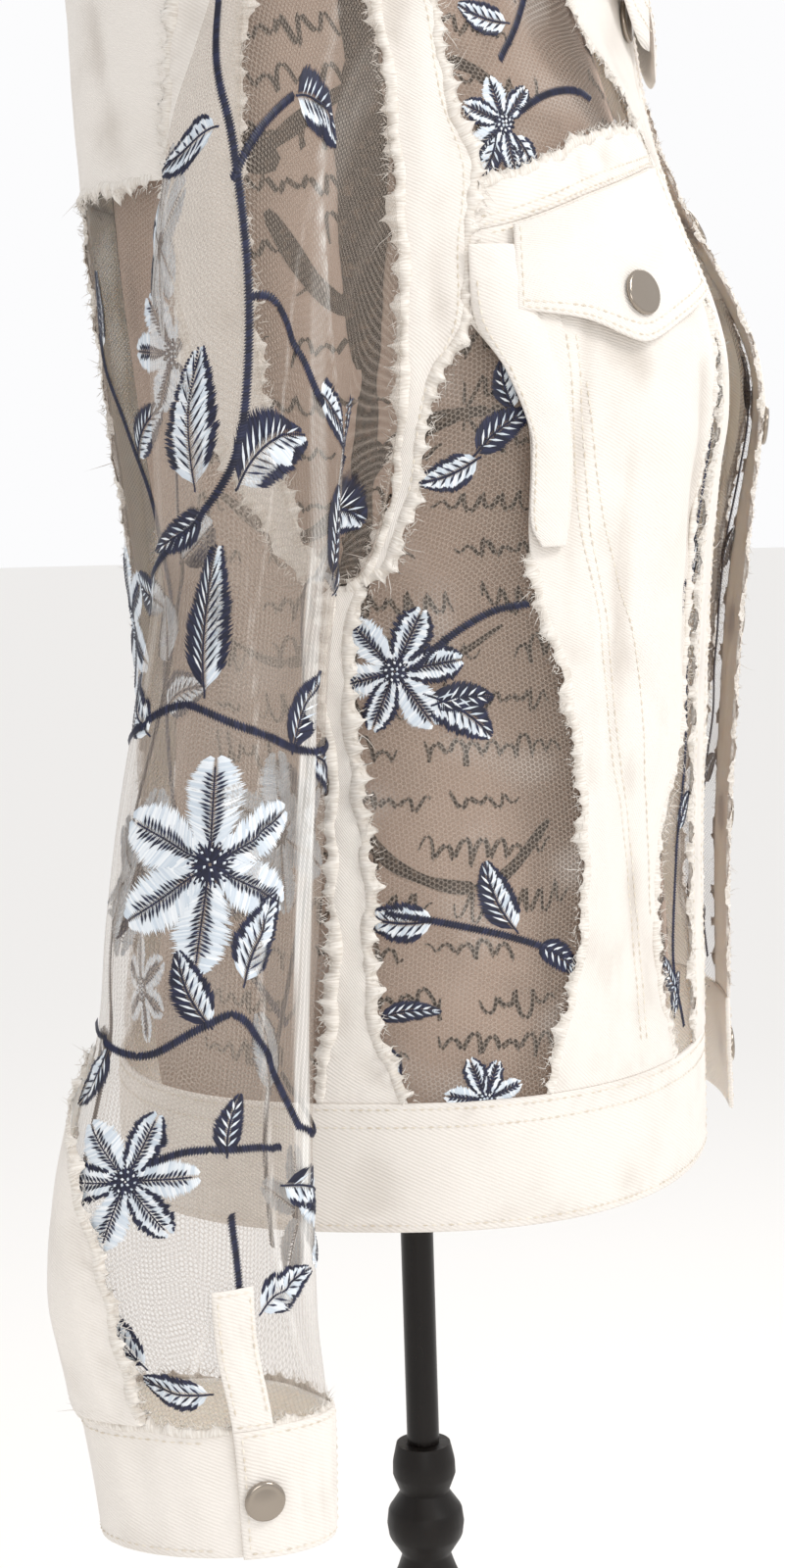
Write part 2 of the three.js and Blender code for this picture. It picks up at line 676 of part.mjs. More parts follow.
// All patches of one half of the body
function bodyPatches() {
  const bandTop = always(BAND_TOP);
  const armEdge = (toward) => (height) => (
    height > ARMHOLE_TOP ? SHOULDER_AROUND : armholeEdge(height, toward));
  const netTop = PANEL_BACK[PANEL_BACK.length - 1].level;
  const frontNetTop = PANEL_FRONT[PANEL_FRONT.length - 1].level;
  const yokeFoot = CHEST_TOP[CHEST_TOP.length - 1].level;
  const chestFoot = CHEST_SEAM[CHEST_SEAM.length - 1].level;
  return {
    placket: { colour: 'denim', left: openingEdge, right: placketSeam, bottom: bandTop,
      top: always(NECK_LEVEL), columns: 3, wall: DENIM,
      rowShares: seamShares([PLACKET_SEAM, OPENING_EDGE], BAND_TOP, NECK_LEVEL, 26) },
    front_net: { colour: 'net', left: placketSeam, right: panelFront, bottom: bandTop,
      top: always(frontNetTop), columns: 2, wall: NET, gap: SLANT_GAP,
      rowShares: seamShares([PLACKET_SEAM, PANEL_FRONT], BAND_TOP, frontNetTop) },
    front_panel: { colour: 'denim', left: panelFrontWhole, right: panelBack, bottom: bandTop,
      top: chestSeam, columns: 5, rows: steps(chestFoot - BAND_TOP), wall: DENIM, fold: panelFold,
      ruffle: { left: true, leftTo: 0.8, right: true, rightTo: 0.55 } },
    chest_band: { colour: 'denim', left: placketSeam, right: armStripFront, bottom: chestSeam,
      top: chestTop, columns: 18, rows: 2, wall: DENIM, ruffle: { top: true }, gap: SLANT_GAP },
    yoke_net: { colour: 'net', left: placketSeam, right: armStripFront, bottom: chestTop,
      top: always(NECK_LEVEL), columns: 4, wall: NET, gap: SLANT_GAP,
      rowShares: seamShares([ARM_STRIP_FRONT, [{ level: STRIP_TOP + 1.5 }]], yokeFoot, NECK_LEVEL, 12) },
    side_net: { colour: 'net', left: panelBack, right: sideSeamFront, bottom: bandTop,
      top: always(netTop), columns: 4, wall: NET, fold: netFold, gap: SLANT_GAP,
      rowShares: seamShares([PANEL_BACK, ARM_STRIP_FRONT, SIDE_STRIP_FRONT], BAND_TOP, netTop) },
    arm_strip_front: { colour: 'denim', left: armStripFront, right: armEdge(-1),
      bottom: always(UNDERARM_LEVEL), top: always(STRIP_TOP), columns: 2, rowShares: armStripShares(32),
      wall: DENIM, ruffle: { left: true, right: true } },
    arm_strip_back: { colour: 'denim', left: armEdge(1), right: armStripBack,
      bottom: always(UNDERARM_LEVEL), top: always(STRIP_TOP), columns: 2, rowShares: armStripShares(22),
      wall: DENIM },
    side_strip: { colour: 'denim', left: sideStripFront, right: sideStripBack, bottom: bandTop,
      top: always(UNDERARM_LEVEL), columns: 2, rows: steps(UNDERARM_LEVEL - BAND_TOP), wall: DENIM,
      ruffle: { left: true, right: true } },
    back_net: { colour: 'net', left: sideSeamBack, right: backPanelEdge, bottom: bandTop,
      top: always(YOKE_BACK_LEVEL), columns: 5, wall: NET, fold: backFold,
      rowShares: seamShares([SIDE_STRIP_BACK, ARM_STRIP_BACK], BAND_TOP, YOKE_BACK_LEVEL) },
  };
}

function panelFrontWhole(height) {
  const top = PANEL_FRONT[PANEL_FRONT.length - 1].level;
  return height > top ? placketSeam(height) + 3 * EDGE_CLEAR : panelFront(height);
}

function sideSeamFront(height) {
  return height > UNDERARM_LEVEL ? armStripFront(height) : sideStripFront(height);
}

function sideSeamBack(height) {
  return height > UNDERARM_LEVEL ? armStripBack(height) : sideStripBack(height);
}

// Pieces that cross centre back, drawn from the right half's seams and their mirror
function backPieces() {
  const body = bodyHalf('right');
  const mirrored = (edge) => (height) => FULL_TURN - edge(height);
  addPiece('back_yoke', 'denim', clothPatch(body, {
    left: armStripBack, right: mirrored(armStripBack), bottom: always(YOKE_BACK_LEVEL),
    top: always(NECK_LEVEL), columns: 16, rows: 6, wall: DENIM, gap: SLANT_GAP, ruffle: { bottom: true },
  }));
  addPiece('back_panel', 'denim', clothPatch(body, {
    left: backPanelEdge, right: mirrored(backPanelEdge), bottom: always(BAND_TOP),
    top: always(YOKE_BACK_LEVEL), columns: 4, rows: 16, wall: DENIM,
  }));
  addPiece('waistband', 'denim', clothPatch(body, {
    left: openingEdge, right: mirrored(openingEdge), bottom: always(0), top: always(BAND_TOP),
    columns: 42, rows: 1, wall: DENIM,
  }));
}

// The flap lies on the chest panel and stands off it toward its point
function flapLift(height) {
  return DENIM + LAY_GAP + THREE.MathUtils.mapLinear(height, FLAP.hinge, FLAP.foot, LAY_GAP, FLAP.standOff);
}

function pocketFlap(side) {
  return clothPatch(bodyHalf(side), {
    left: always(FLAP.front), right: always(FLAP.back), bottom: along(FLAP_BOTTOM, 'around', 'level'),
    top: (around) => chestSeam(around) - 1, columns: 10, rows: 3, wall: DENIM, lift: flapLift,
  });
}

function sleevePieces(side) {
  const sleeve = sleeveHalf(side);
  addPiece(`${side}_sleeve_net`, 'net', tubeWall(sleeve, SLEEVE_RUNS, NET));
  addPiece(`${side}_sleeve_strip`, 'denim', clothPatch(sleeve, {
    left: along(SLEEVE_STRIP_INNER, 'along', 'around'), right: along(SLEEVE_STRIP_OUTER, 'along', 'around'),
    bottom: always(SLEEVE_STRIP_INNER[0].along), top: always(SLEEVE_END - 1), columns: 3, rows: 14,
    wall: DENIM, lift: always(SLEEVE_LAY), ruffle: { left: true },
  }));
  addPiece(`${side}_sleeve_tab`, 'denim', clothPatch(sleeve, {
    left: always(SLEEVE_TAB.from), right: always(SLEEVE_TAB.to), bottom: always(SLEEVE_TAB.start),
    top: always(SLEEVE_END), columns: 1, rows: 2, wall: DENIM, lift: always(TAB_LAY),
  }));
  addPiece(`${side}_cuff`, 'denim', tubeWall(sleeve, CUFF_RUNS, DENIM));
  addPiece(`${side}_cuff_tab`, 'denim', clothPatch(sleeve, {
    left: always(CUFF_TAB.from), right: always(CUFF_TAB.to), bottom: always(SLEEVE_END),
    top: always(CUFF_END), columns: 4, rows: 2, wall: DENIM, lift: always(TAB_LAY),
  }));
}

// Tube of cloth on the sleeve: its wall goes inward, so its folds keep clear of each other
function tubeWall(sleeve, runs, wall) {
  const innerGrid = [];
  const outerGrid = [];
  for (const run of runs) {
    const innerRow = [];
    const outerRow = [];
    for (let side = 0; side < SLEEVE_AROUND; side += 1) {
      const around = (FULL_TURN * side) / SLEEVE_AROUND;
      const point = sleeve.pointAt(around, run);
      outerRow.push(point);
      innerRow.push(point.clone().addScaledVector(sleeve.normalAt(around, run), -wall));
    }
    innerGrid.push(innerRow);
    outerGrid.push(outerRow);
  }
  return wallGeometry(innerGrid, outerGrid, true);
}

// Level reached by going down the body a distance from the neck seam
function levelBelowNeck(around, distance) {
  const step = 2;
  let height = NECK_LEVEL;
  let last = bodyPoint(around, height);
  let gone = 0;
  while (gone < distance && height > YOKE_BACK_LEVEL) {
    height -= step;
    const next = bodyPoint(around, height);
    gone += next.distanceTo(last);
    last = next;
  }
  return height;
}

function collarSection(around) {
  const mirror = around > FULL_TURN / 2;
  const sideAround = mirror ? FULL_TURN - around : around;
  const body = bodyHalf(mirror ? 'left' : 'right');
  const neck = body.pointAt(sideAround, NECK_LEVEL);
  const out = new THREE.Vector3(neck.x, neck.y, 0).normalize();
  const points = COLLAR_STAND.map((row) => neck.clone().addScaledVector(out, row.out)
    .add(new THREE.Vector3(0, 0, row.up)));
  const drop = rowAt(COLLAR_LEAF, 'around', sideAround).drop;
  for (const row of COLLAR_LEAF_LIFT) {
    const height = levelBelowNeck(sideAround, COLLAR_ROLL + row.share * drop);
    const normal = body.normalAt(sideAround, height);
    points.push(body.pointAt(sideAround, height).addScaledVector(normal, DENIM + row.lift));
  }
  return points;
}

// Collar: its wall is added on the upper side of the section, across the sweep
function collar() {
  const first = COLLAR_LEAF[0].around;
  const rows = [];
  for (let index = 0; index <= COLLAR_SECTIONS; index += 1) {
    rows.push(collarSection(THREE.MathUtils.lerp(first, FULL_TURN - first, index / COLLAR_SECTIONS)));
  }
  const thickened = rows.map((section, index) => section.map((point, place) => {
    const before = rows[Math.max(index - 1, 0)][place];
    const after = rows[Math.min(index + 1, COLLAR_SECTIONS)][place];
    const below = section[Math.max(place - 1, 0)];
    const above = section[Math.min(place + 1, section.length - 1)];
    const across = after.clone().sub(before);
    const upward = above.clone().sub(below);
    const normal = across.cross(upward).normalize();
    return point.clone().addScaledVector(normal, DENIM);
  }));
  return wallGeometry(rows, thickened);
}

// Turned piece: its profile starts and ends on the axis
function turned(rows, lift) {
  const profile = [new THREE.Vector2(0, rows[0].height + lift)];
  for (const row of rows) profile.push(new THREE.Vector2(row.radius, row.height + lift));
  profile.push(new THREE.Vector2(0, rows[rows.length - 1].height + lift));
  const geometry = new THREE.LatheGeometry(profile, LATHE_SIDES);
  geometry.rotateX(Math.PI / 2);
  return geometry;
}

function torso() {
  const points = [];
  const faces = [];
  const lift = (ring, around) => {
    const ahead = Math.cos(around * DEGREE);
    return ring.level + (ring.middle - ring.level) * ahead * ahead * (ahead > 0 ? 1 : 0.2);
  };
  for (const ring of FORM_RINGS) {
    for (let side = 0; side < FORM_AROUND; side += 1) {
      const around = (FULL_TURN * side) / FORM_AROUND;
      points.push(ringPoint(ring, around, ring.front, lift(ring, around)));
    }
  }
  const last = FORM_RINGS.length - 1;
  points.push(new THREE.Vector3(0, 0, FORM_RINGS[0].level + HEM_HEIGHT));
  points.push(new THREE.Vector3(0, 0, FORM_RINGS[last].level + HEM_HEIGHT));
  const at = (row, side) => row * FORM_AROUND + (side % FORM_AROUND);
  for (let side = 0; side < FORM_AROUND; side += 1) {
    for (let row = 0; row < last; row += 1) {
      faces.push(at(row, side), at(row + 1, side), at(row + 1, side + 1));
      faces.push(at(row, side), at(row + 1, side + 1), at(row, side + 1));
    }
    faces.push(points.length - 2, at(0, side), at(0, side + 1));
    faces.push(points.length - 1, at(last, side + 1), at(last, side));
  }
  return facingOut(points, faces);
}

function snapGeometry(size) {
  const geometry = new THREE.LatheGeometry([
    new THREE.Vector2(0, 0),
    new THREE.Vector2(size.radius - size.foot, 0),
    new THREE.Vector2(size.radius, size.rim),
    new THREE.Vector2(size.radius - size.shoulder, size.height - size.dome),
    new THREE.Vector2(0, size.height),
  ], SNAP_SIDES);
  return geometry;
}

// Snap seated on a surface: its axis follows the surface's normal
function placeSnap(name, size, surface, around, run, under) {
  const normal = surface.normalAt(around, run);
  const mesh = addPiece(name, 'metal', snapGeometry(size));
  mesh.quaternion.setFromUnitVectors(new THREE.Vector3(0, 1, 0), normal);
  mesh.position.copy(surface.pointAt(around, run)).addScaledVector(normal, under + size.seat);
}

function snaps(side) {
  const body = bodyHalf(side);
  placeSnap(`${side}_pocket_snap`, SNAP, body, FLAP.tip, POCKET_SNAP_LEVEL,
    flapLift(POCKET_SNAP_LEVEL) + DENIM);
  placeSnap(`${side}_cuff_snap`, SMALL_SNAP, sleeveHalf(side), CUFF_SNAP.around, CUFF_SNAP.run,
    DENIM + TAB_LAY);
}

function placketSnaps() {
  placeSnap('collar_snap', SNAP, bodyHalf('right'), COLLAR_SNAP.around, COLLAR_SNAP.level, DENIM);
  const left = bodyHalf('left');
  PLACKET_SNAP_LEVELS.forEach((height, index) => {
    placeSnap(`placket_snap_${index + 1}`, SNAP, left, openingEdge(height) + SNAP_INSET, height, DENIM);
  });
  placeSnap('waistband_snap', SNAP, left, openingEdge(0) + SNAP_INSET, BAND_TOP / 2, DENIM);
}

function stand() {
  addPiece('torso_form', 'cover', torso());
  const neckTop = FORM_RINGS[FORM_RINGS.length - 1].level + HEM_HEIGHT;
  addPiece('neck_cap', 'black', turned(NECK_CAP, neckTop + LAY_GAP));
  const poleTop = HEM_HEIGHT + FORM_RINGS[0].level - LAY_GAP;
  addPiece('pole', 'black', turned([
    { height: POST_TOP + LAY_GAP, radius: POLE_RADIUS },
    { height: poleTop - POLE_PLATE.height, radius: POLE_RADIUS },
    { height: poleTop - POLE_PLATE.height, radius: POLE_PLATE.radius },
    { height: poleTop, radius: POLE_PLATE.radius },
  ], 0));
  addPiece('turned_post', 'black', turned(POST, 0));
  addPiece('round_base', 'black', turned(BASE, 0));
}

for (const side of ['right', 'left']) {
  const body = bodyHalf(side);
  for (const [name, piece] of Object.entries(bodyPatches())) {
    addPiece(`${side}_${name}`, piece.colour, clothPatch(body, piece));
  }
  addPiece(`${side}_pocket_flap`, 'denim', pocketFlap(side));
  sleevePieces(side);
  snaps(side);
}
backPieces();
addPiece('collar', 'denim', collar());
placketSnaps();
stand();

export default jacket;
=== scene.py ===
"""Denim jacket with sheer embroidered net panels, worn open on a limbless dress form with a turned stand.

The surfaces below repeat the part's own rings and seams, in millimetres, with the floor at Z = 0, the
jacket's front toward -Y and the wearer's right toward -X. Every mesh is made in metres in that frame.
"""

import logging
import math
from dataclasses import dataclass, field
from enum import Enum
from typing import Callable, Iterable

import bpy
import numpy as np
from mathutils import Matrix


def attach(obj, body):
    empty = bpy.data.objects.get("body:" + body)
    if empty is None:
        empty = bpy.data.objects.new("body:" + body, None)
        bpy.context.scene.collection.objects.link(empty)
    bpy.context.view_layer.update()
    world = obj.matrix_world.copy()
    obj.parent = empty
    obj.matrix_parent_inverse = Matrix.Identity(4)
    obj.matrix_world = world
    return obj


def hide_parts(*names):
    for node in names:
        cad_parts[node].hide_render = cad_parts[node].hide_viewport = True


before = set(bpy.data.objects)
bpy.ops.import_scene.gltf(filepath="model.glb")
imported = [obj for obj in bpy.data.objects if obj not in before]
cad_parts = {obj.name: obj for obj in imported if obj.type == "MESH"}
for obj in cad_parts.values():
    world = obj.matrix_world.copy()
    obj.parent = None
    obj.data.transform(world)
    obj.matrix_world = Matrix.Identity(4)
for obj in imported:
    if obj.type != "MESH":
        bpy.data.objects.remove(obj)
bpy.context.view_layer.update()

LOG = logging.getLogger("denim_jacket")

Array = np.ndarray
Border = Callable[[Array], Array]

MM = 0.001
DEGREE = math.pi / 180.0
HEM_HEIGHT = 800.0
BAND_TOP = 50.0
NECK_LEVEL = 558.0
YOKE_BACK_LEVEL = 392.0
UNDERARM_LEVEL = 244.0
ARMHOLE_TOP = 496.0
STRIP_TOP = 513.0
SHOULDER_AROUND = 92.0
NET_TOP = 337.0
SLEEVE_END = 452.0
CUFF_END = 500.0


@dataclass(frozen=True)
class Table:
    """Rows of numbers under named columns, read at a value of the first column."""

    columns: str
    rows: tuple[tuple[float, ...], ...]

    def column(self, name: str) -> Array:
        """Return one column as an array."""
        place = self.columns.split().index(name)
        return np.array([row[place] for row in self.rows], dtype=float)

    def at(self, name: str, key: Array) -> Array:
        """Read a column smoothly between the rows.

        Args:
            name: The column to read.
            key: Values of the first column.

        Returns:
            The column's values there.
        """
        keys = self.column(self.columns.split()[0])
        values = self.column(name)
        last = len(keys) - 1
        low = np.clip(np.searchsorted(keys, key, side="left") - 1, 0, last - 1)
        high = low + 1
        before = np.maximum(low - 1, 0)
        after = np.minimum(low + 2, last)
        span = keys[high] - keys[low]
        t = np.clip((key - keys[low]) / span, 0.0, 1.0)
        slope_in = (values[high] - values[before]) / (keys[high] - keys[before]) * span
        slope_out = (values[after] - values[low]) / (keys[after] - keys[low]) * span
        return (values[low] * (1 + 2 * t) * (1 - t) ** 2 + slope_in * t * (1 - t) ** 2
                + values[high] * t * t * (3 - 2 * t) + slope_out * t * t * (t - 1))


BODY_RINGS = Table("level half_width front_right front_left back square front rear", (
    (0, 157, 126, 138, 118, 2.5, 0, 0),
    (50, 158, 126, 137, 117, 2.5, 50, 50),
    (120, 156, 126, 138, 110, 2.5, 120, 120),
    (195, 155, 129, 143, 105, 2.5, 195, 195),
    (265, 160, 132, 148, 108, 2.4, 265, 265),
    (330, 166, 134, 147, 114, 2.4, 330, 332),
    (400, 169, 115, 120, 119, 2.3, 397, 406),
    (455, 171, 107, 108, 121, 2.2, 434, 464),
    (498, 169, 104, 104, 116, 2.1, 460, 504),
    (535, 116, 98, 98, 86, 2.0, 473, 534),
    (558, 80, 93, 93, 60, 2.0, 480, 550),
))
SLEEVE_STATIONS = Table("run angle hinge_x hinge_level inner reach middle half", (
    (0, 0, 164, 244, 2, 251, 1, 27),
    (24, 10, 166, 244, 3, 238, 13, 31),
    (48, 20, 167.5, 244, 3, 209, 19, 31),
    (74, 32, 168, 244, 3, 170, 21, 31),
    (104, 50, 168, 244, 3, 122, 23, 30.5),
    (132, 70, 168, 244, 3, 94, 25, 30),
    (160, 90, 168, 242, 3, 83, 28, 30),
    (210, 90, 169, 195, 3, 80, 35, 33),
    (275, 90, 171, 130, 3, 76, 44, 37),
    (315, 90, 174, 90, 3, 72, 48, 38),
    (345, 90, 177, 60, 3, 68, 53, 42),
    (385, 90, 180, 20, 3, 64, 58, 45.5),
    (420, 90, 182, -15, 3, 60, 58, 46),
    (452, 90, 184, -47, 3, 56, 53, 45),
    (500, 90, 185, -95, 3, 53, 50, 42),
))
FORM_RINGS = Table("level half_width front back square middle", (
    (10, 128, 92, 88, 2.3, 10),
    (18, 142, 104, 100, 2.3, 18),
    (60, 148, 112, 106, 2.3, 60),
    (120, 141, 110, 98, 2.3, 120),
    (190, 134, 106, 92, 2.3, 190),
    (260, 141, 114, 96, 2.3, 260),
    (320, 151, 122, 102, 2.3, 320),
    (380, 156, 110, 108, 2.2, 380),
    (440, 158, 96, 110, 2.1, 426),
    (480, 154, 86, 104, 2.1, 460),
    (522, 118, 74, 82, 2, 507),
    (544, 76, 64, 56, 2, 533),
    (556, 60, 56, 48, 2, 556),
    (600, 56, 54, 50, 2, 600),
    (640, 57, 56, 52, 2, 640),
))

OPENING_EDGE = Table("level around", ((0, 12), (330, 13), (400, 15), (475, 21), (558, 22)))
PLACKET_SEAM = Table("level around", (
    (0, 26), (200, 26), (330, 27), (402, 28), (418, 32), (436, 40), (455, 52), (498, 57), (558, 58)))
PANEL_FRONT = Table("level around", (
    (50, 36), (66, 38.5), (90, 41.5), (140, 40.5), (174, 33.5), (215, 31), (274, 31.5), (310, 30),
    (350, 28.4)))
PANEL_BACK = Table("level around", (
    (50, 64.5), (75, 61.5), (110, 58), (160, 57.5), (205, 60), (250, 65), (298, 65.4), (320, 68.5),
    (337, 73)))
ARM_STRIP_FRONT = Table("level around", (
    (244, 87.6), (250, 84.6), (262, 82.3), (280, 80.4), (313, 78.2), (337, 73.6), (364, 73),
    (392, 71.8), (416, 74.8), (450, 76.5), (482, 80), (500, 85.5), (513, 90.4)))
ARM_STRIP_BACK = Table("level around", (
    (244, 92.2), (250, 95.6), (262, 98.5), (300, 106), (340, 110), (400, 111), (450, 109), (482, 105),
    (500, 99.5), (513, 93.6)))
SIDE_STRIP_FRONT = Table("level around", (
    (50, 83.5), (75, 87.3), (104, 88.4), (134, 87.8), (170, 89.2), (211, 90), (235, 88.6), (244, 87.6)))
SIDE_STRIP_BACK = Table("level around", (
    (50, 96), (75, 94), (104, 92.8), (134, 93.1), (170, 92.6), (211, 93.6), (235, 91.8), (244, 92.2)))
BACK_PANEL_EDGE = Table("level around", ((50, 167), (160, 164), (300, 157), (392, 152)))
CHEST_SEAM = Table("around level", ((27, 402), (34, 399), (53, 385), (66, 373), (74, 368)))
CHEST_TOP = Table("around level", ((27, 421), (36, 416), (51, 408), (62, 395), (74, 383)))
FLAP_BOTTOM = Table("around level", (
    (31, 347), (40, 338), (47, 330), (49, 329), (51, 330), (58, 337), (67.5, 341)))
SLEEVE_STRIP_OUTER = Table("run around", ((322, 276), (345, 300), (385, 326), (420, 336), (451, 338)))
SLEEVE_STRIP_INNER = Table("run around", ((322, 262), (345, 256), (451, 250)))


def edge_of(table: Table) -> Border:
    """Return the smooth seam line of a table as a function of its first column."""
    name = table.columns.split()[1]
    return lambda key: table.at(name, np.asarray(key, dtype=float))


def fixed(value: float) -> Border:
    """Return a border that stays at one value."""
    return lambda key: np.full(np.shape(key), float(value))


class Side(Enum):
    """Half of the garment, named for its wearer."""

    RIGHT = "right"
    LEFT = "left"


def oval_points(half_width: Array, depth: Array, square: Array, around: Array, level: Array) -> Array:
    """Return points of oval rings about the form's axis.

    Args:
        half_width: Half width of each ring at its side.
        depth: Its depth toward the point's own side.
        square: Its squareness, 2 for an ellipse.
        around: Degrees from centre front toward the wearer's right.
        level: Millimetres above the hem.

    Returns:
        Points in millimetres, one row each.
    """
    side = np.sin(around * DEGREE)
    ahead = np.cos(around * DEGREE)
    radius = ((np.abs(side) / half_width) ** square + (np.abs(ahead) / depth) ** square) ** (-1.0 / square)
    return np.stack([-radius * side, -radius * ahead, level + HEM_HEIGHT], axis=-1)


class Surface:
    """A surface of the garment, in millimetres, over an angle and a run along it."""

    span = (0.5, 557.5)
    sign = 1.0

    def points(self, around: Array, run: Array) -> Array:
        """Return the surface's points, one row for each place."""
        raise NotImplementedError

    def normals(self, around: Array, run: Array) -> Array:
        """Return outward unit normals at the places."""
        run = np.clip(run, self.span[0], self.span[1])
        across = self.points(around + 0.4, run) - self.points(around - 0.4, run)
        upward = self.points(around, run + 0.4) - self.points(around, run - 0.4)
        normal = np.cross(upward, across) * self.sign
        return normal / np.maximum(np.linalg.norm(normal, axis=-1, keepdims=True), 1e-9)

    def raised(self, around: Array, run: Array, height: Array | float) -> Array:
        """Return points lifted off the surface by a height in millimetres."""
        lift = np.asarray(height, dtype=float)
        return self.points(around, run) + self.normals(around, run) * np.expand_dims(lift, -1)

    def scales(self, around: Array, run: Array) -> tuple[Array, Array]:
        """Return millimetres per degree and per unit of run at the places."""
        run = np.clip(run, self.span[0], self.span[1])
        across = self.points(around + 0.5, run) - self.points(around - 0.5, run)
        upward = self.points(around, run + 0.5) - self.points(around, run - 0.5)
        return np.linalg.norm(across, axis=-1), np.linalg.norm(upward, axis=-1)


class BodySurface(Surface):
    """The jacket's body, read from centre front toward one side."""

    bust = (31.0, 318.0, 20.0, 60.0)

    def __init__(self, side: Side = Side.RIGHT) -> None:
        """Keep which half the angles are counted on."""
        self.mirror = side is Side.LEFT
        self.sign = -1.0 if self.mirror else 1.0

    def points(self, around: Array, run: Array) -> Array:
        """Return points of the body's wall."""
        around = np.asarray(around, dtype=float)
        run = np.asarray(run, dtype=float)
        if self.mirror:
            around = 360.0 - around
        read = lambda name: BODY_RINGS.at(name, run)
        right = around < 180.0
        ahead = np.cos(around * DEGREE)
        front = np.where(right, read("front_right"), read("front_left"))
        depth = np.where(ahead < 0, read("back"), front)
        middle = np.where(ahead > 0, read("front"), read("rear"))
        level = run + (middle - run) * ahead * ahead
        point = oval_points(read("half_width"), depth, read("square"), around, level)
        centre, height, spread, tall = self.bust
        away = np.minimum(np.abs(around - centre), np.abs(360.0 - around - centre))
        rise = np.where(right, 9.0, 13.0) * np.exp(-((away / spread) ** 2) - ((run - height) / tall) ** 2)
        flat = np.hypot(point[..., 0], point[..., 1])
        point[..., :2] *= np.expand_dims(1 + rise / flat, -1)
        return point


class FormSurface(Surface):
    """The dress form's cover."""

    span = (10.5, 639.5)

    def points(self, around: Array, run: Array) -> Array:
        """Return points of the form."""
        around = np.asarray(around, dtype=float)
        run = np.asarray(run, dtype=float)
        read = lambda name: FORM_RINGS.at(name, run)
        ahead = np.cos(around * DEGREE)
        depth = np.where(ahead < 0, read("back"), read("front"))
        level = run + (read("middle") - run) * ahead * ahead * np.where(ahead > 0, 1.0, 0.2)
        return oval_points(read("half_width"), depth, read("square"), around, level)


class SleeveSurface(Surface):
    """A sleeve from its armhole to the cuff's edge: 0 degrees outside, 90 toward the front."""

    span = (1.0, 499.0)
    armhole = (91.0, 1.0, 10.0, 9.5, 2.2)
    seam_rise = 7.0
    head_end = 66.0

    def __init__(self, side: Side = Side.RIGHT) -> None:
        """Keep which arm the sleeve is on."""
        self.flip = -1.0 if side is Side.LEFT else 1.0
        self.sign = self.flip
        self.body = BodySurface()

    def seam_points(self, around: Array) -> Array:
        """Return points of the armhole's edge."""
        centre, lean, front, back, roundness = self.armhole
        share = np.cos(around * DEGREE)
        tall = (ARMHOLE_TOP - UNDERARM_LEVEL) / 2
        level = UNDERARM_LEVEL + tall + (tall - 0.6) * share
        opened = np.maximum(1 - np.abs(share) ** roundness, 0.0) ** (1 / roundness)
        width = np.where(np.sin(around * DEGREE) > 0, -front, back) * 0.975
        return self.body.points(centre + lean * share + width * opened, level)

    def points(self, around: Array, run: Array) -> Array:
        """Return points of the sleeve's wall."""
        around, run = np.broadcast_arrays(np.asarray(around, dtype=float), np.asarray(run, dtype=float))
        read = lambda name: SLEEVE_STATIONS.at(name, run)
        radius = (read("reach") - read("inner")) / 2
        settled = np.clip(np.minimum(np.minimum(run / 90, 1), np.minimum((CUFF_END - run) / 110, 1)), 0, None)
        fold = settled * 2.2 * np.sin(5 * around * DEGREE + 0.35 * np.sin(run / 60))
        out_from = read("inner") + radius + (radius + fold) * np.cos(around * DEGREE)
        ahead = read("middle") - (read("half") + fold) * np.sin(around * DEGREE)
        turn = read("angle") * DEGREE
        section = np.stack([-(read("hinge_x") + out_from * np.sin(turn)), ahead,
                            read("hinge_level") + out_from * np.cos(turn) + HEM_HEIGHT], axis=-1)
        share = np.clip((run - self.seam_rise) / (self.head_end - self.seam_rise), 0.0, 1.0)
        blend = np.expand_dims(share * share * (3 - 2 * share), -1)
        start = self.seam_points(around)
        start[..., 0] -= np.minimum(run, self.seam_rise)
        point = start * (1 - blend) + section * blend
        point[..., 0] *= self.flip
        return point


def linear(hex_colour: str) -> tuple[float, float, float, float]:
    """Turn an sRGB hex colour into linear values with full alpha."""
    parts = [int(hex_colour[place:place + 2], 16) / 255 for place in (1, 3, 5)]
    turned = [part / 12.92 if part <= 0.04045 else ((part + 0.055) / 1.055) ** 2.4 for part in parts]
    return (turned[0], turned[1], turned[2], 1.0)


def add_node(tree: bpy.types.NodeTree, kind: str, settings: dict | None = None,
             inputs: dict | None = None) -> bpy.types.Node:
    """Add a node with its settings and links.

    Args:
        tree: The node tree that gets the node.
        kind: Blender's name of the node's type.
        settings: Properties to set on the node.
        inputs: Values or sockets for its inputs, by name or place.

    Returns:
        The new node.
    """
    node = tree.nodes.new(kind)
    for name, value in (settings or {}).items():
        setattr(node, name, value)
    for name, value in (inputs or {}).items():
        if isinstance(value, bpy.types.NodeSocket):
            tree.links.new(value, node.inputs[name])
        else:
            node.inputs[name].default_value = value
    return node


def crumple(x: Array, y: Array, seed: int, size: float, count: int = 7) -> Array:
    """Return soft unevenness between about -1 and 1.

    Args:
        x: Millimetres across the cloth.
        y: Millimetres along the cloth.
        seed: Number that fixes the pattern.
        size: Usual length of a wave in millimetres.
        count: How many waves are summed.

    Returns:
        The unevenness at each place.
    """
    rng = np.random.default_rng(seed)
    total = np.zeros(np.broadcast(x, y).shape)
    for _ in range(count):
        turn = rng.uniform(0, math.pi)
        wave = size * rng.uniform(0.65, 1.7)
        total = total + np.sin((x * math.cos(turn) + y * math.sin(turn)) * math.tau / wave
                               + rng.uniform(0, math.tau))
    return total / math.sqrt(count * 1.6)


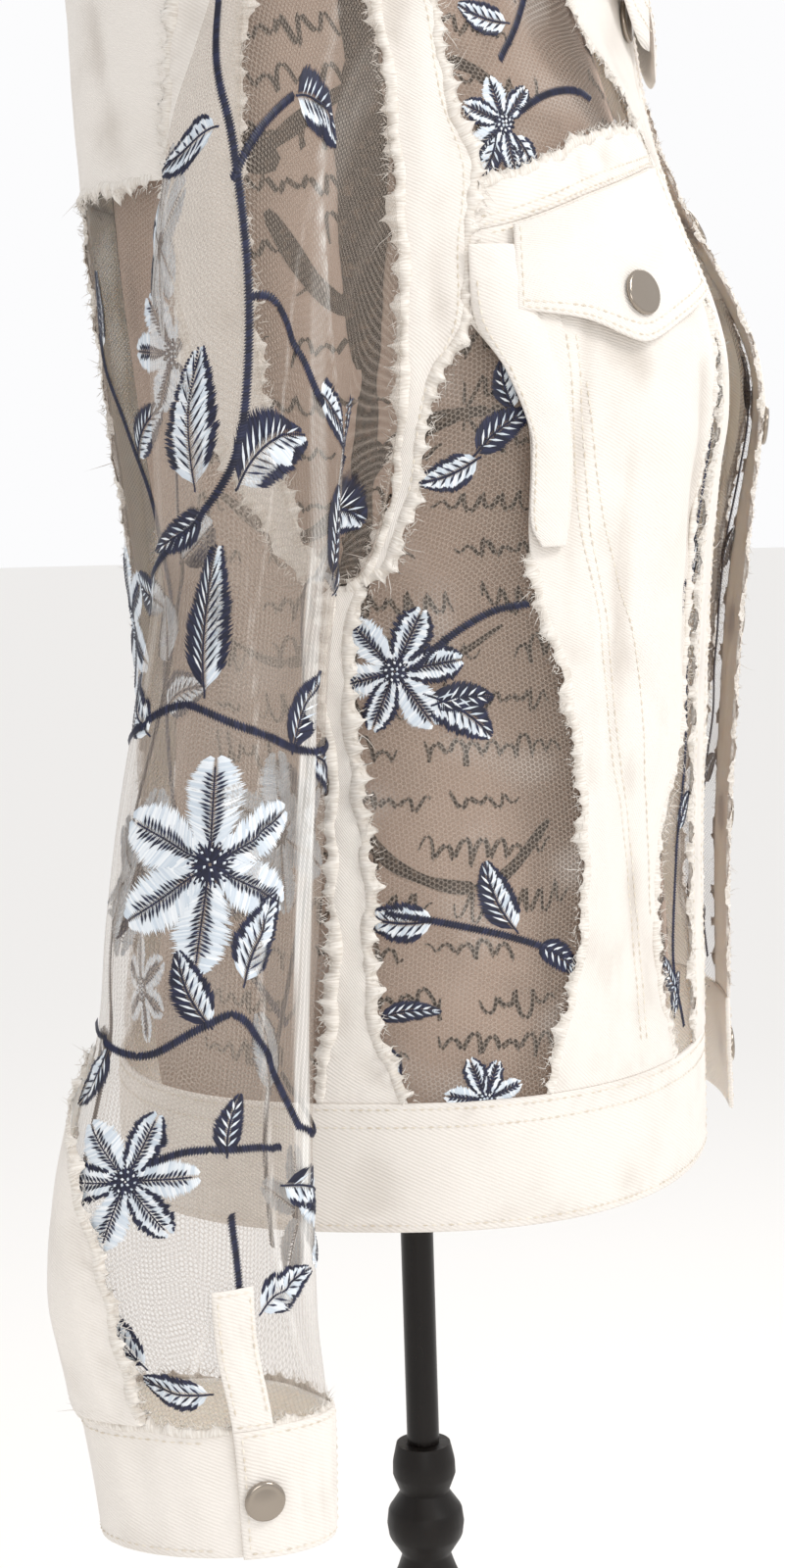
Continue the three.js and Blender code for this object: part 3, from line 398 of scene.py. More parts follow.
def build_object(name: str, points: Array, faces: list[tuple[int, ...]] | Array, finish: bpy.types.Material,
                 cut: Array | None = None, tone: Array | None = None, smooth: bool = True) -> bpy.types.Object:
    """Make a mesh object from points in millimetres.

    Args:
        name: The piece's name.
        points: Its points, one row each.
        faces: Its faces as point numbers.
        finish: Its material.
        cut: Flat place of each point on the cloth in millimetres, for the weave.
        tone: A number for each point, for shading by wear or by fold.
        smooth: Whether its faces are shaded smooth.

    Returns:
        The new object, riding on the part's only body.
    """
    mesh = bpy.data.meshes.new(name)
    listed = faces.tolist() if isinstance(faces, np.ndarray) else faces
    mesh.from_pydata((points * MM).tolist(), [], listed)
    mesh.materials.append(finish)
    if cut is not None:
        corner = np.zeros(len(mesh.loops), dtype=np.int32)
        mesh.loops.foreach_get("vertex_index", corner)
        layer = mesh.uv_layers.new(name="cut")
        layer.data.foreach_set("uv", (cut[corner] * MM).astype(np.float32).ravel())
    if tone is not None:
        layer = mesh.attributes.new("tone", "FLOAT", "POINT")
        layer.data.foreach_set("value", np.asarray(tone, dtype=np.float32).ravel())
    mesh.polygons.foreach_set("use_smooth", [smooth] * len(mesh.polygons))
    mesh.validate()
    mesh.update()
    piece = bpy.data.objects.new(name, mesh)
    bpy.context.scene.collection.objects.link(piece)
    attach(piece, "root")
    return piece


def grid_faces(rows: int, columns: int, first: int = 0, ring: bool = False, flip: bool = False) -> Array:
    """Return the quads of a grid of points.

    Args:
        rows: Rows of points.
        columns: Points in a row.
        first: Number of the grid's first point.
        ring: Whether each row closes on itself.
        flip: Whether the faces turn the other way.

    Returns:
        The faces as rows of four point numbers.
    """
    place = np.arange(rows * columns).reshape(rows, columns) + first
    if ring:
        place = np.concatenate([place, place[:, :1]], axis=1)
    quads = np.stack([place[:-1, :-1], place[:-1, 1:], place[1:, 1:], place[1:, :-1]], axis=-1).reshape(-1, 4)
    return quads[:, ::-1] if flip else quads


def wall_mesh(inner: Array, outer: Array, ring: bool = False) -> tuple[Array, Array]:
    """Join two grids of points into a closed wall that faces outward.

    Args:
        inner: Inner grid, rows by columns by three.
        outer: Outer grid of the same shape.
        ring: Whether each row closes on itself.

    Returns:
        The wall's points and its faces.
    """
    rows, columns = inner.shape[:2]
    total = rows * columns
    points = np.concatenate([inner.reshape(-1, 3), outer.reshape(-1, 3)])
    parts = [grid_faces(rows, columns, 0, ring, True), grid_faces(rows, columns, total, ring)]
    place = np.arange(total).reshape(rows, columns)
    if ring:
        place = np.concatenate([place, place[:, :1]], axis=1)
    low, high = place[0], place[-1]
    parts.append(np.stack([low[:-1], low[1:], low[1:] + total, low[:-1] + total], axis=-1))
    parts.append(np.stack([high[1:], high[:-1], high[:-1] + total, high[1:] + total], axis=-1))
    if not ring:
        left, right = place[:, 0], place[:, -1]
        parts.append(np.stack([left[1:], left[:-1], left[:-1] + total, left[1:] + total], axis=-1))
        parts.append(np.stack([right[:-1], right[1:], right[1:] + total, right[:-1] + total], axis=-1))
    faces = np.concatenate(parts)
    a, b, c = points[faces[:, 0]], points[faces[:, 1]], points[faces[:, 2]]
    d = points[faces[:, 3]]
    volume = np.einsum("ij,ij->", a, np.cross(b, c)) + np.einsum("ij,ij->", a, np.cross(c, d))
    return points, faces[:, ::-1] if volume < 0 else faces


def even_shares(length: float, step: float, rim: float) -> Array:
    """Return shares across a length, close together where both rims are rounded.

    Args:
        length: The length in millimetres.
        step: Usual spacing.
        rim: Width of the rounded rim at each end.

    Returns:
        Shares from 0 to 1.
    """
    count = max(2, math.ceil((length - 2 * rim) / step))
    near = np.array([0.0, 0.1, 0.35]) * rim / length
    middle = np.linspace(rim / length, 1 - rim / length, count + 1)
    return np.concatenate([near, middle, 1 - near[::-1]])


@dataclass(frozen=True)
class Patch:
    """A piece of cloth between four seams of a surface."""

    left: Border
    right: Border
    bottom: Border
    top: Border

    def places(self, across: Array, along: Array) -> tuple[Array, Array]:
        """Turn shares of the patch into places on its surface.

        Args:
            across: Shares from the left seam to the right one.
            along: Shares from the bottom to the top.

        Returns:
            Angle and run of each place.
        """
        around = np.full(np.shape(across), 60.0)
        run = self.bottom(around) + (self.top(around) - self.bottom(around)) * along
        for _ in range(9):
            around = self.left(run) + (self.right(run) - self.left(run)) * across
            run = self.bottom(around) + (self.top(around) - self.bottom(around)) * along
        return around, run

    def tucked(self, degrees: float, run: float) -> "Patch":
        """Return the patch with its edges let out, to lie under the pieces sewn round it."""
        return Patch(lambda key: self.left(key) - degrees, lambda key: self.right(key) + degrees,
                     lambda key: self.bottom(key) - run, lambda key: self.top(key) + run)

    def size(self, surface: Surface) -> tuple[float, float, float]:
        """Measure the patch laid flat.

        Args:
            surface: The surface that it lies on.

        Returns:
            Greatest width and length in millimetres, and area in square millimetres.
        """
        across, along = np.meshgrid(np.linspace(0, 1, 33), np.linspace(0, 1, 33))
        point = surface.points(*self.places(across, along))
        widths = np.linalg.norm(np.diff(point, axis=1), axis=-1).sum(axis=1)
        lengths = np.linalg.norm(np.diff(point, axis=0), axis=-1).sum(axis=0)
        side_a = point[:-1, 1:] - point[:-1, :-1]
        side_b = point[1:, :-1] - point[:-1, :-1]
        area = np.linalg.norm(np.cross(side_a, side_b), axis=-1).sum()
        return float(widths.max()), float(lengths.max()), float(area)


@dataclass(frozen=True)
class Crease:
    """A soft ridge, or a hollow where its height is below 0, with its reach along and across it."""

    around: float
    run: float
    long: float
    wide: float
    turn: float
    height: float
    per_degree: float = 2.75

    def lift(self, around: Array, run: Array) -> Array:
        """Return the ridge's height at the places."""
        x = (around - self.around) * self.per_degree
        y = run - self.run
        turn = self.turn * DEGREE
        along = x * math.sin(turn) + y * math.cos(turn)
        across = x * math.cos(turn) - y * math.sin(turn)
        return self.height * np.exp(-((along / self.long) ** 2) - (across / self.wide) ** 2)


@dataclass(frozen=True)
class Relief:
    """How a piece of cloth stands off its surface: its lift, its creases and its unevenness."""

    lift: float = 0.4
    creases: tuple[Crease, ...] = ()
    uneven: float = 0.3
    size: float = 24.0
    pucker: float = 0.22
    seed: int = 1

    def height(self, around: Array, run: Array, edge: Array) -> Array:
        """Return millimetres off the surface.

        Args:
            around: Angle of each place.
            run: Run of each place.
            edge: Millimetres from the nearest edge of the piece.

        Returns:
            The height at each place.
        """
        x = around * 2.75
        inside = np.clip(edge / 9, 0, 1)
        total = self.lift + self.uneven * inside * crumple(x, run, self.seed, self.size)
        total = total + self.pucker * np.exp(-((edge - 4) / 3.2) ** 2) * crumple(x, run, self.seed + 5, 7.0)
        for crease in self.creases:
            total = total + crease.lift(around, run) * np.clip(edge / 5, 0.15, 1)
        return total


def new_material(name: str) -> tuple[bpy.types.Material, bpy.types.NodeTree, bpy.types.Node]:
    """Start a material.

    Args:
        name: The material's common name.

    Returns:
        The material, its node tree and its output node.
    """
    material = bpy.data.materials.new(name)
    material.use_nodes = True
    material.node_tree.nodes.clear()
    return material, material.node_tree, add_node(material.node_tree, "ShaderNodeOutputMaterial")


@dataclass(frozen=True)
class CottonTwill:
    """Woven cotton twill, bleached and washed: matt, with fine diagonal ribs and soft fuzz."""

    name: str = "bleached cotton twill"
    glow: float = 0.0
    colour: str = "#eee8e1"
    # worn is the colour that the random wash mottle blends toward, and also the painted crease shade carried by the
    # tone attribute.
    worn: str = "#c3bab0"
    rib: float = 0.0013
    roughness: float = 0.92

    def build(self) -> bpy.types.Material:
        """Return the material. The ribs are twice their real 0.65 mm, so that they show.

        The glow is light that comes through the thin cloth, which brightens its shaded reverse.
        """
        material, tree, output = new_material(self.name)
        cut = add_node(tree, "ShaderNodeUVMap", {"uv_map": "cut"})
        turned = add_node(tree, "ShaderNodeMapping", inputs={
            "Vector": cut.outputs["UV"], "Rotation": (0, 0, math.radians(62))})
        ribs = add_node(tree, "ShaderNodeTexWave", {"wave_type": "BANDS", "bands_direction": "X"}, {
            "Vector": turned.outputs["Vector"], "Scale": 0.314 / self.rib, "Distortion": 1.2,
            "Detail": 2.0, "Detail Scale": 3.0})
        slubs = add_node(tree, "ShaderNodeTexNoise", {"noise_dimensions": "2D"}, {
            "Vector": cut.outputs["UV"], "Scale": 420.0, "Detail": 4.0, "Roughness": 0.65})
        patches = add_node(tree, "ShaderNodeTexNoise", {"noise_dimensions": "2D"}, {
            "Vector": cut.outputs["UV"], "Scale": 26.0, "Detail": 3.0})
        tone = add_node(tree, "ShaderNodeAttribute", {"attribute_name": "tone"})
        mottle = add_node(tree, "ShaderNodeMapRange", inputs={
            "Value": patches.outputs["Fac"], "From Min": 0.35, "From Max": 0.7, "To Min": 0.0, "To Max": 0.35})
        weave = add_node(tree, "ShaderNodeMath", {"operation": "MULTIPLY_ADD"}, {
            0: ribs.outputs["Fac"], 1: -0.28, 2: mottle.outputs["Result"]})
        # shade adds the weave, the random mottle and the tone attribute, which is painted shade in creases and a
        # darker rim.
        shade = add_node(tree, "ShaderNodeMath", {"operation": "ADD", "use_clamp": True}, {
            0: weave.outputs["Value"], 1: tone.outputs["Fac"]})
        colour = add_node(tree, "ShaderNodeMix", {"data_type": "RGBA"}, {
            0: shade.outputs["Value"], 6: linear(self.colour), 7: linear(self.worn)})
        relief = add_node(tree, "ShaderNodeMath", {"operation": "MULTIPLY_ADD"}, {
            0: slubs.outputs["Fac"], 1: 0.8, 2: ribs.outputs["Fac"]})
        bump = add_node(tree, "ShaderNodeBump", inputs={
            "Strength": 0.55, "Distance": 0.00022, "Height": relief.outputs["Value"]})
        shader = add_node(tree, "ShaderNodeBsdfPrincipled", inputs={
            "Base Color": colour.outputs[2], "Roughness": self.roughness, "Normal": bump.outputs["Normal"],
            "Sheen Weight": 0.12, "Sheen Roughness": 0.5, "Specular IOR Level": 0.25,
            "Subsurface Weight": self.glow, "Subsurface Radius": (0.004, 0.0036, 0.0032), "Subsurface Scale": 1.0})
        tree.links.new(shader.outputs["BSDF"], output.inputs["Surface"])
        return material


@dataclass(frozen=True)
class FrayedCotton:
    """Loose cotton yarn at a raw edge: bright, fluffy and without gloss."""

    colour: str = "#f2ede6"
    # hollow is the colour that the random yarn streaks blend toward, and also the painted shade that the tone puts at
    # the fray's root and between its scallops.
    hollow: str = "#c2b7aa"

    def build(self) -> bpy.types.Material:
        """Return the material. Its streaks run as the yarns do, half a millimetre apart."""
        material, tree, output = new_material("frayed cotton yarn")
        cut = add_node(tree, "ShaderNodeUVMap", {"uv_map": "cut"})
        drawn = add_node(tree, "ShaderNodeMapping", inputs={
            "Vector": cut.outputs["UV"], "Scale": (1.0, 0.12, 1.0)})
        streaks = add_node(tree, "ShaderNodeTexNoise", {"noise_dimensions": "2D"}, {
            "Vector": drawn.outputs["Vector"], "Scale": 1500.0, "Detail": 2.0})
        tone = add_node(tree, "ShaderNodeAttribute", {"attribute_name": "tone"})
        spread = add_node(tree, "ShaderNodeMapRange", inputs={
            "Value": streaks.outputs["Fac"], "From Min": 0.35, "From Max": 0.65, "To Min": -0.1, "To Max": 0.4})
        shade = add_node(tree, "ShaderNodeMath", {"operation": "ADD", "use_clamp": True}, {
            0: spread.outputs["Result"], 1: tone.outputs["Fac"]})
        colour = add_node(tree, "ShaderNodeMix", {"data_type": "RGBA"}, {
            0: shade.outputs["Value"], 6: linear(self.colour), 7: linear(self.hollow)})
        bump = add_node(tree, "ShaderNodeBump", inputs={
            "Strength": 0.7, "Distance": 0.0003, "Height": streaks.outputs["Fac"]})
        shader = add_node(tree, "ShaderNodeBsdfPrincipled", inputs={
            "Base Color": colour.outputs[2], "Roughness": 1.0, "Normal": bump.outputs["Normal"],
            "Sheen Weight": 0.2, "Sheen Roughness": 0.6, "Specular IOR Level": 0.15})
        tree.links.new(shader.outputs["BSDF"], output.inputs["Surface"])
        return material


@dataclass(frozen=True)
class NylonNet:
    """Bobbin net of fine nylon: a honeycomb of small holes, thicker where it folds on itself. Its warm grey is darker
    than its near-white thread, a painted shade, and it turns to that white where it lies folded.
    """

    # colour is darker than the thread's own near-white: a painted shade over the whole net.
    colour: str = "#baada1"
    fold: str = "#faf8f4"
    hole: float = 0.0019
    veil: float = 0.12
    thread: float = 0.4

    def build(self) -> bpy.types.Material:
        """Return the material. Its holes are 1.9 mm instead of 1.2 mm, so that they show."""
        material, tree, output = new_material("nylon bobbin net")
        cut = add_node(tree, "ShaderNodeUVMap", {"uv_map": "cut"})
        total = None
        for turn in (0, 60, 120):
            turned = add_node(tree, "ShaderNodeMapping", inputs={
                "Vector": cut.outputs["UV"], "Rotation": (0, 0, turn * DEGREE)})
            bars = add_node(tree, "ShaderNodeTexWave", {"wave_type": "BANDS", "bands_direction": "X"}, {
                "Vector": turned.outputs["Vector"], "Scale": 0.3142 / (self.hole * 0.866)})
            total = bars.outputs["Fac"] if total is None else add_node(
                tree, "ShaderNodeMath", {"operation": "ADD"}, {0: total, 1: bars.outputs["Fac"]}).outputs["Value"]
        threads = add_node(tree, "ShaderNodeMapRange", inputs={
            "Value": total, "From Min": 1.6, "From Max": 2.0, "To Min": self.veil, "To Max": self.thread})
        tone = add_node(tree, "ShaderNodeAttribute", {"attribute_name": "tone"})
        alpha = add_node(tree, "ShaderNodeMath", {"operation": "ADD", "use_clamp": True}, {
            0: threads.outputs["Result"], 1: tone.outputs["Fac"]})
        folded = add_node(tree, "ShaderNodeMapRange", inputs={
            "Value": tone.outputs["Fac"], "From Min": 0.03, "From Max": 0.3})
        colour = add_node(tree, "ShaderNodeMix", {"data_type": "RGBA"}, {
            0: folded.outputs["Result"], 6: linear(self.colour), 7: linear(self.fold)})
        shader = add_node(tree, "ShaderNodeBsdfPrincipled", inputs={
            "Base Color": colour.outputs[2], "Roughness": 0.6, "Alpha": alpha.outputs["Value"],
            "Specular IOR Level": 0.3})
        tree.links.new(shader.outputs["BSDF"], output.inputs["Surface"])
        return material


@dataclass(frozen=True)
class RayonThread:
    """Embroidery rayon: a smooth twisted thread with a silky streak of gloss."""

    name: str
    colour: str
    bright: str
    roughness: float = 0.38

    def build(self) -> bpy.types.Material:
        """Return the material, which varies a little from stitch to stitch."""
        material, tree, output = new_material(self.name)
        tone = add_node(tree, "ShaderNodeAttribute", {"attribute_name": "tone"})
        colour = add_node(tree, "ShaderNodeMix", {"data_type": "RGBA"}, {
            0: tone.outputs["Fac"], 6: linear(self.colour), 7: linear(self.bright)})
        shader = add_node(tree, "ShaderNodeBsdfPrincipled", inputs={
            "Base Color": colour.outputs[2], "Roughness": self.roughness, "Sheen Weight": 0.12,
            "Sheen Roughness": 0.35, "Specular IOR Level": 0.45})
        tree.links.new(shader.outputs["BSDF"], output.inputs["Surface"])
        return material


@dataclass(frozen=True)
class PrintedCotton:
    """The form's cover: plain cotton, close woven, stretched and a little uneven in colour."""

    colour: str = "#bca596"
    shade: str = "#a58e7f"

    def build(self) -> bpy.types.Material:
        """Return the material. Its weave is 1.2 mm, three times the real one, so that it shows."""
        material, tree, output = new_material("plain woven cotton cover")
        place = add_node(tree, "ShaderNodeTexCoord")
        weave = add_node(tree, "ShaderNodeTexVoronoi", {"feature": "F1"}, {
            "Vector": place.outputs["Object"], "Scale": 833.0, "Randomness": 0.4})
        cloud = add_node(tree, "ShaderNodeTexNoise", inputs={
            "Vector": place.outputs["Object"], "Scale": 14.0, "Detail": 4.0})
        colour = add_node(tree, "ShaderNodeMix", {"data_type": "RGBA"}, {
            0: cloud.outputs["Fac"], 6: linear(self.colour), 7: linear(self.shade)})
        bump = add_node(tree, "ShaderNodeBump", inputs={
            "Strength": 0.3, "Distance": 0.0002, "Height": weave.outputs["Distance"]})
        shader = add_node(tree, "ShaderNodeBsdfPrincipled", inputs={
            "Base Color": colour.outputs[2], "Roughness": 0.88, "Normal": bump.outputs["Normal"],
            "Specular IOR Level": 0.25})
        tree.links.new(shader.outputs["BSDF"], output.inputs["Surface"])
        return material


@dataclass(frozen=True)
class FabricInk:
    """Ink printed on the cover: dry brush, broken where the cloth shows through."""

    colour: str = "#241c18"
    thin: str = "#5c4a3c"

    def build(self) -> bpy.types.Material:
        """Return the material."""
        material, tree, output = new_material("printed fabric ink")
        place = add_node(tree, "ShaderNodeTexCoord")
        grain = add_node(tree, "ShaderNodeTexNoise", inputs={
            "Vector": place.outputs["Object"], "Scale": 260.0, "Detail": 5.0, "Roughness": 0.7})
        dry = add_node(tree, "ShaderNodeMapRange", inputs={
            "Value": grain.outputs["Fac"], "From Min": 0.5, "From Max": 0.68})
        colour = add_node(tree, "ShaderNodeMix", {"data_type": "RGBA"}, {
            0: dry.outputs["Result"], 6: linear(self.colour), 7: linear(self.thin)})
        shader = add_node(tree, "ShaderNodeBsdfPrincipled", inputs={
            "Base Color": colour.outputs[2], "Roughness": 0.8, "Specular IOR Level": 0.2})
        tree.links.new(shader.outputs["BSDF"], output.inputs["Surface"])
        return material


@dataclass(frozen=True)
class GunmetalCapWithPaintedReflection:
    """Pressed brass plated dark nickel: a mirror with a warm grey cast, darkened further as a painted reflection of
    dark surroundings, and with fine rub marks.
    """

    # colour is darkened and warmed: a painted reflection of dark surroundings on the mirror.
    colour: str = "#a1978c"
    roughness: float = 0.1

    def build(self) -> bpy.types.Material:
        """Return the material."""
        material, tree, output = new_material("dark nickel plate")
        place = add_node(tree, "ShaderNodeTexCoord")
        rubs = add_node(tree, "ShaderNodeTexNoise", inputs={
            "Vector": place.outputs["Object"], "Scale": 700.0, "Detail": 3.0})
        gloss = add_node(tree, "ShaderNodeMapRange", inputs={
            "Value": rubs.outputs["Fac"], "From Min": 0.3, "From Max": 0.75,
            "To Min": self.roughness, "To Max": self.roughness + 0.12})
        shader = add_node(tree, "ShaderNodeBsdfPrincipled", inputs={
            "Base Color": linear(self.colour), "Metallic": 1.0, "Roughness": gloss.outputs["Result"]})
        tree.links.new(shader.outputs["BSDF"], output.inputs["Surface"])
        return material


@dataclass(frozen=True)
class BlackPaint:
    """Black paint on turned wood or on a steel tube: dark, with a soft or a glossy highlight."""

    name: str
    roughness: float
    grain: float
    colour: str = "#0d0a09"
    worn: str = "#1c1714"

    def build(self) -> bpy.types.Material:
        """Return the material. Its brush marks or dust stand across the turned piece."""
        material, tree, output = new_material(self.name)
        place = add_node(tree, "ShaderNodeTexCoord")
        drawn = add_node(tree, "ShaderNodeMapping", inputs={
            "Vector": place.outputs["Object"], "Scale": (1.0, 1.0, 0.15)})
        marks = add_node(tree, "ShaderNodeTexNoise", inputs={
            "Vector": drawn.outputs["Vector"], "Scale": 160.0, "Detail": 4.0})
        rough = add_node(tree, "ShaderNodeMapRange", inputs={
            "Value": marks.outputs["Fac"], "From Min": 0.3, "From Max": 0.7,
            "To Min": self.roughness, "To Max": self.roughness + 0.18})
        colour = add_node(tree, "ShaderNodeMix", {"data_type": "RGBA"}, {
            0: marks.outputs["Fac"], 6: linear(self.colour), 7: linear(self.worn)})
        bump = add_node(tree, "ShaderNodeBump", inputs={
            "Strength": self.grain, "Distance": 0.0003, "Height": marks.outputs["Fac"]})
        shader = add_node(tree, "ShaderNodeBsdfPrincipled", inputs={
            "Base Color": colour.outputs[2], "Roughness": rough.outputs["Result"],
            "Normal": bump.outputs["Normal"], "Specular IOR Level": 0.25})
        tree.links.new(shader.outputs["BSDF"], output.inputs["Surface"])
        return material


@dataclass(frozen=True)
class PaleFloor:
    """A plain pale studio floor."""

    colour: str = "#f6f4f1"

    def build(self) -> bpy.types.Material:
        """Return the material."""
        material, tree, output = new_material("pale matt floor")
        shader = add_node(tree, "ShaderNodeBsdfPrincipled", inputs={
            "Base Color": linear(self.colour), "Roughness": 0.9, "Specular IOR Level": 0.2})
        tree.links.new(shader.outputs["BSDF"], output.inputs["Surface"])
        return material


@dataclass
class Finishes:
    """Every material of the scene, built once."""

    twill: bpy.types.Material = field(default_factory=lambda: CottonTwill().build())
    # The reverse is a lighter copy of the twill, its worn colour much lighter: painted light for the inner faces,
    # which lie in shade. Its glow is real light through the thin cloth.
    reverse: bpy.types.Material = field(default_factory=lambda: CottonTwill(
        "reverse of bleached cotton twill", 0.75, "#f2ece4", "#dcd4c9").build())
    yarn: bpy.types.Material = field(default_factory=lambda: FrayedCotton().build())
    net: bpy.types.Material = field(default_factory=lambda: NylonNet().build())
    navy: bpy.types.Material = field(default_factory=lambda: RayonThread(
        "navy embroidery rayon", "#0f1128", "#232847").build())
    silver: bpy.types.Material = field(default_factory=lambda: RayonThread(
        "silver embroidery rayon", "#ccd7e2", "#f6f9fc").build())
    # The topstitch thread is white like the cloth. Its darker tan is painted shade along the stitch rows, mixed at
    # random per stitch toward near-white.
    topstitch: bpy.types.Material = field(default_factory=lambda: RayonThread(
        "cotton topstitch thread", "#d9cdbb", "#f2eadd", 0.8).build())
    cover: bpy.types.Material = field(default_factory=lambda: PrintedCotton().build())
    ink: bpy.types.Material = field(default_factory=lambda: FabricInk().build())
    cap: bpy.types.Material = field(default_factory=lambda: GunmetalCapWithPaintedReflection().build())
    wood: bpy.types.Material = field(default_factory=lambda: BlackPaint(
        "black stain on turned beech", 0.34, 0.5).build())
    pole: bpy.types.Material = field(default_factory=lambda: BlackPaint(
        "black enamel on steel tube", 0.2, 0.1).build())
    floor: bpy.types.Material = field(default_factory=lambda: PaleFloor().build())


@dataclass
class Cloth:
    """A made piece of cloth, kept with its patch so that its edges can be dressed."""

    piece: bpy.types.Object
    surface: Surface
    patch: Patch
    relief: Relief
    wall: float


def sew_panel(name: str, surface: Surface, patch: Patch, relief: Relief, wall: float,
              finishes: Finishes, node: str, step: float = 3.0) -> Cloth:
    """Make a panel of denim as a closed shell with rounded edges.

    Args:
        name: The piece's name.
        surface: The surface that it lies on.
        patch: Its seams.
        relief: How it stands off the surface.
        wall: Thickness in millimetres.
        finishes: The scene's materials.
        node: The CAD node that it stands for.
        step: Spacing of its points.

    Returns:
        The panel.
    """
    width, length, area = patch.size(surface)
    rim = 1.1
    across, along = np.meshgrid(even_shares(width, step, rim), even_shares(length, step, rim))
    around, run = patch.places(across, along)
    edge = np.minimum(np.minimum(across, 1 - across) * width, np.minimum(along, 1 - along) * length)
    rounded = np.sqrt(np.clip(1 - (1 - np.clip(edge / rim, 0, 1)) ** 2, 0, 1))
    height = relief.height(around, run, edge)
    middle = surface.raised(around, run, height + wall / 2)
    half = np.expand_dims(wall / 2 * (0.18 + 0.82 * rounded), -1)
    normal = surface.normals(around, run)
    points, faces = wall_mesh(middle - normal * half, middle + normal * half)
    cut = np.stack([across * width, along * length], axis=-1).reshape(-1, 2)
    # Painted shade: the tone darkens the twill in crease hollows, where it sits below its usual lift, and lightens it
    # a little on ridges.
    hollow = np.clip(0.4 * (relief.lift - height), -0.12, 0.45).ravel()
    # The tone is also darker towards the piece's edges.
    rim_tone = (0.12 * np.exp(-edge / 2.0)).ravel()
    tone = hollow + rim_tone
    piece = build_object(name, points, faces, finishes.twill, np.concatenate([cut, cut]),
                         np.concatenate([tone, tone]))
    turn_reverse(piece, (across.shape[0] - 1) * (across.shape[1] - 1), finishes)
    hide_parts(node)
    LOG.info("%s: %.0f x %.0f mm", name, width, length)
    return Cloth(piece, surface, patch, relief, wall)


def turn_reverse(piece: bpy.types.Object, count: int, finishes: Finishes) -> None:
    """Give a wall's first faces, which are its inner ones, the reverse side of the cloth."""
    piece.data.materials.append(finishes.reverse)
    side = np.zeros(len(piece.data.polygons), dtype=np.int32)
    side[:count] = 1
    piece.data.polygons.foreach_set("material_index", side)
    piece.data.update()


def declare_cloth(cloth: Cloth) -> None:
    """Measure a piece's patch laid flat; nothing is done with the sizes."""
    width, length, area = cloth.patch.size(cloth.surface)


def hang_net(name: str, surface: Surface, patch: Patch, relief: Relief, finish: bpy.types.Material,
             node: str, folds: Callable[[Array, Array], Array] | None = None, step: float = 3.0,
             ring: bool = False) -> Cloth:
    """Make a panel of net as one thin layer with its own folds.

    Args:
        name: The piece's name.
        surface: The surface that it lies on.
        patch: Its seams, let out under the denim round it.
        relief: How it stands off the surface.
        finish: Its material.
        node: The CAD node that it stands for.
        folds: Extra veil at each place, where the net lies in folds.
        step: Spacing of its points.
        ring: Whether it closes on itself round a sleeve.

    Returns:
        The panel of net.
    """
    width, length, _ = patch.size(surface)
    columns = np.linspace(0, 1, math.ceil(width / step) + 1)
    if ring:
        columns = columns[:-1]
    across, along = np.meshgrid(columns, np.linspace(0, 1, math.ceil(length / step) + 1))
    around, run = patch.places(across, along)
    edge = np.minimum(np.minimum(across, 1 - across) * width, np.minimum(along, 1 - along) * length)
    if ring:
        edge = np.minimum(along, 1 - along) * length
    height = relief.height(around, run, edge)
    point = surface.raised(around, run, height)
    rows, count = point.shape[:2]
    faces = grid_faces(rows, count, 0, ring, surface.sign * (1 if isinstance(surface, SleeveSurface) else -1) > 0)
    wide = np.cumsum(np.linalg.norm(np.diff(point, axis=1, prepend=point[:, :1]), axis=-1), axis=1)
    long = np.cumsum(np.linalg.norm(np.diff(point, axis=0, prepend=point[:1]), axis=-1), axis=0)
    cut = np.stack([wide - wide[:, count // 2:count // 2 + 1], long], axis=-1).reshape(-1, 2)
    veil = folds(around, run).ravel() if folds else np.zeros(rows * count)
    piece = build_object(name, point.reshape(-1, 3), faces, finish, cut, veil)
    if ring:
        close_seam_of_cut(piece, count, wide[:, -1] + np.linalg.norm(point[:, 0] - point[:, -1], axis=-1))
    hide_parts(node)
    LOG.info("%s: %.0f x %.0f mm", name, width, length)
    return Cloth(piece, surface, patch, relief, 0.0)


def close_seam_of_cut(piece: bpy.types.Object, columns: int, widths: Array) -> None:
    """Carry the flat pattern of a closed sleeve on past its seam, so that the net doesn't smear there."""
    mesh = piece.data
    layer = mesh.uv_layers["cut"].data
    for polygon in mesh.polygons:
        corners = [mesh.loops[place].vertex_index % columns for place in polygon.loop_indices]
        if max(corners) - min(corners) < columns // 2:
            continue
        for place, corner in zip(polygon.loop_indices, corners):
            if corner < columns // 2:
                layer[place].uv[0] += widths[mesh.loops[place].vertex_index // columns % len(widths)] * MM


@dataclass(frozen=True)
class EdgeLine:
    """A run of an edge in space: places along it, the way along, the way out and the way off the cloth."""

    point: Array
    along: Array
    out: Array
    off: Array
    run: Array


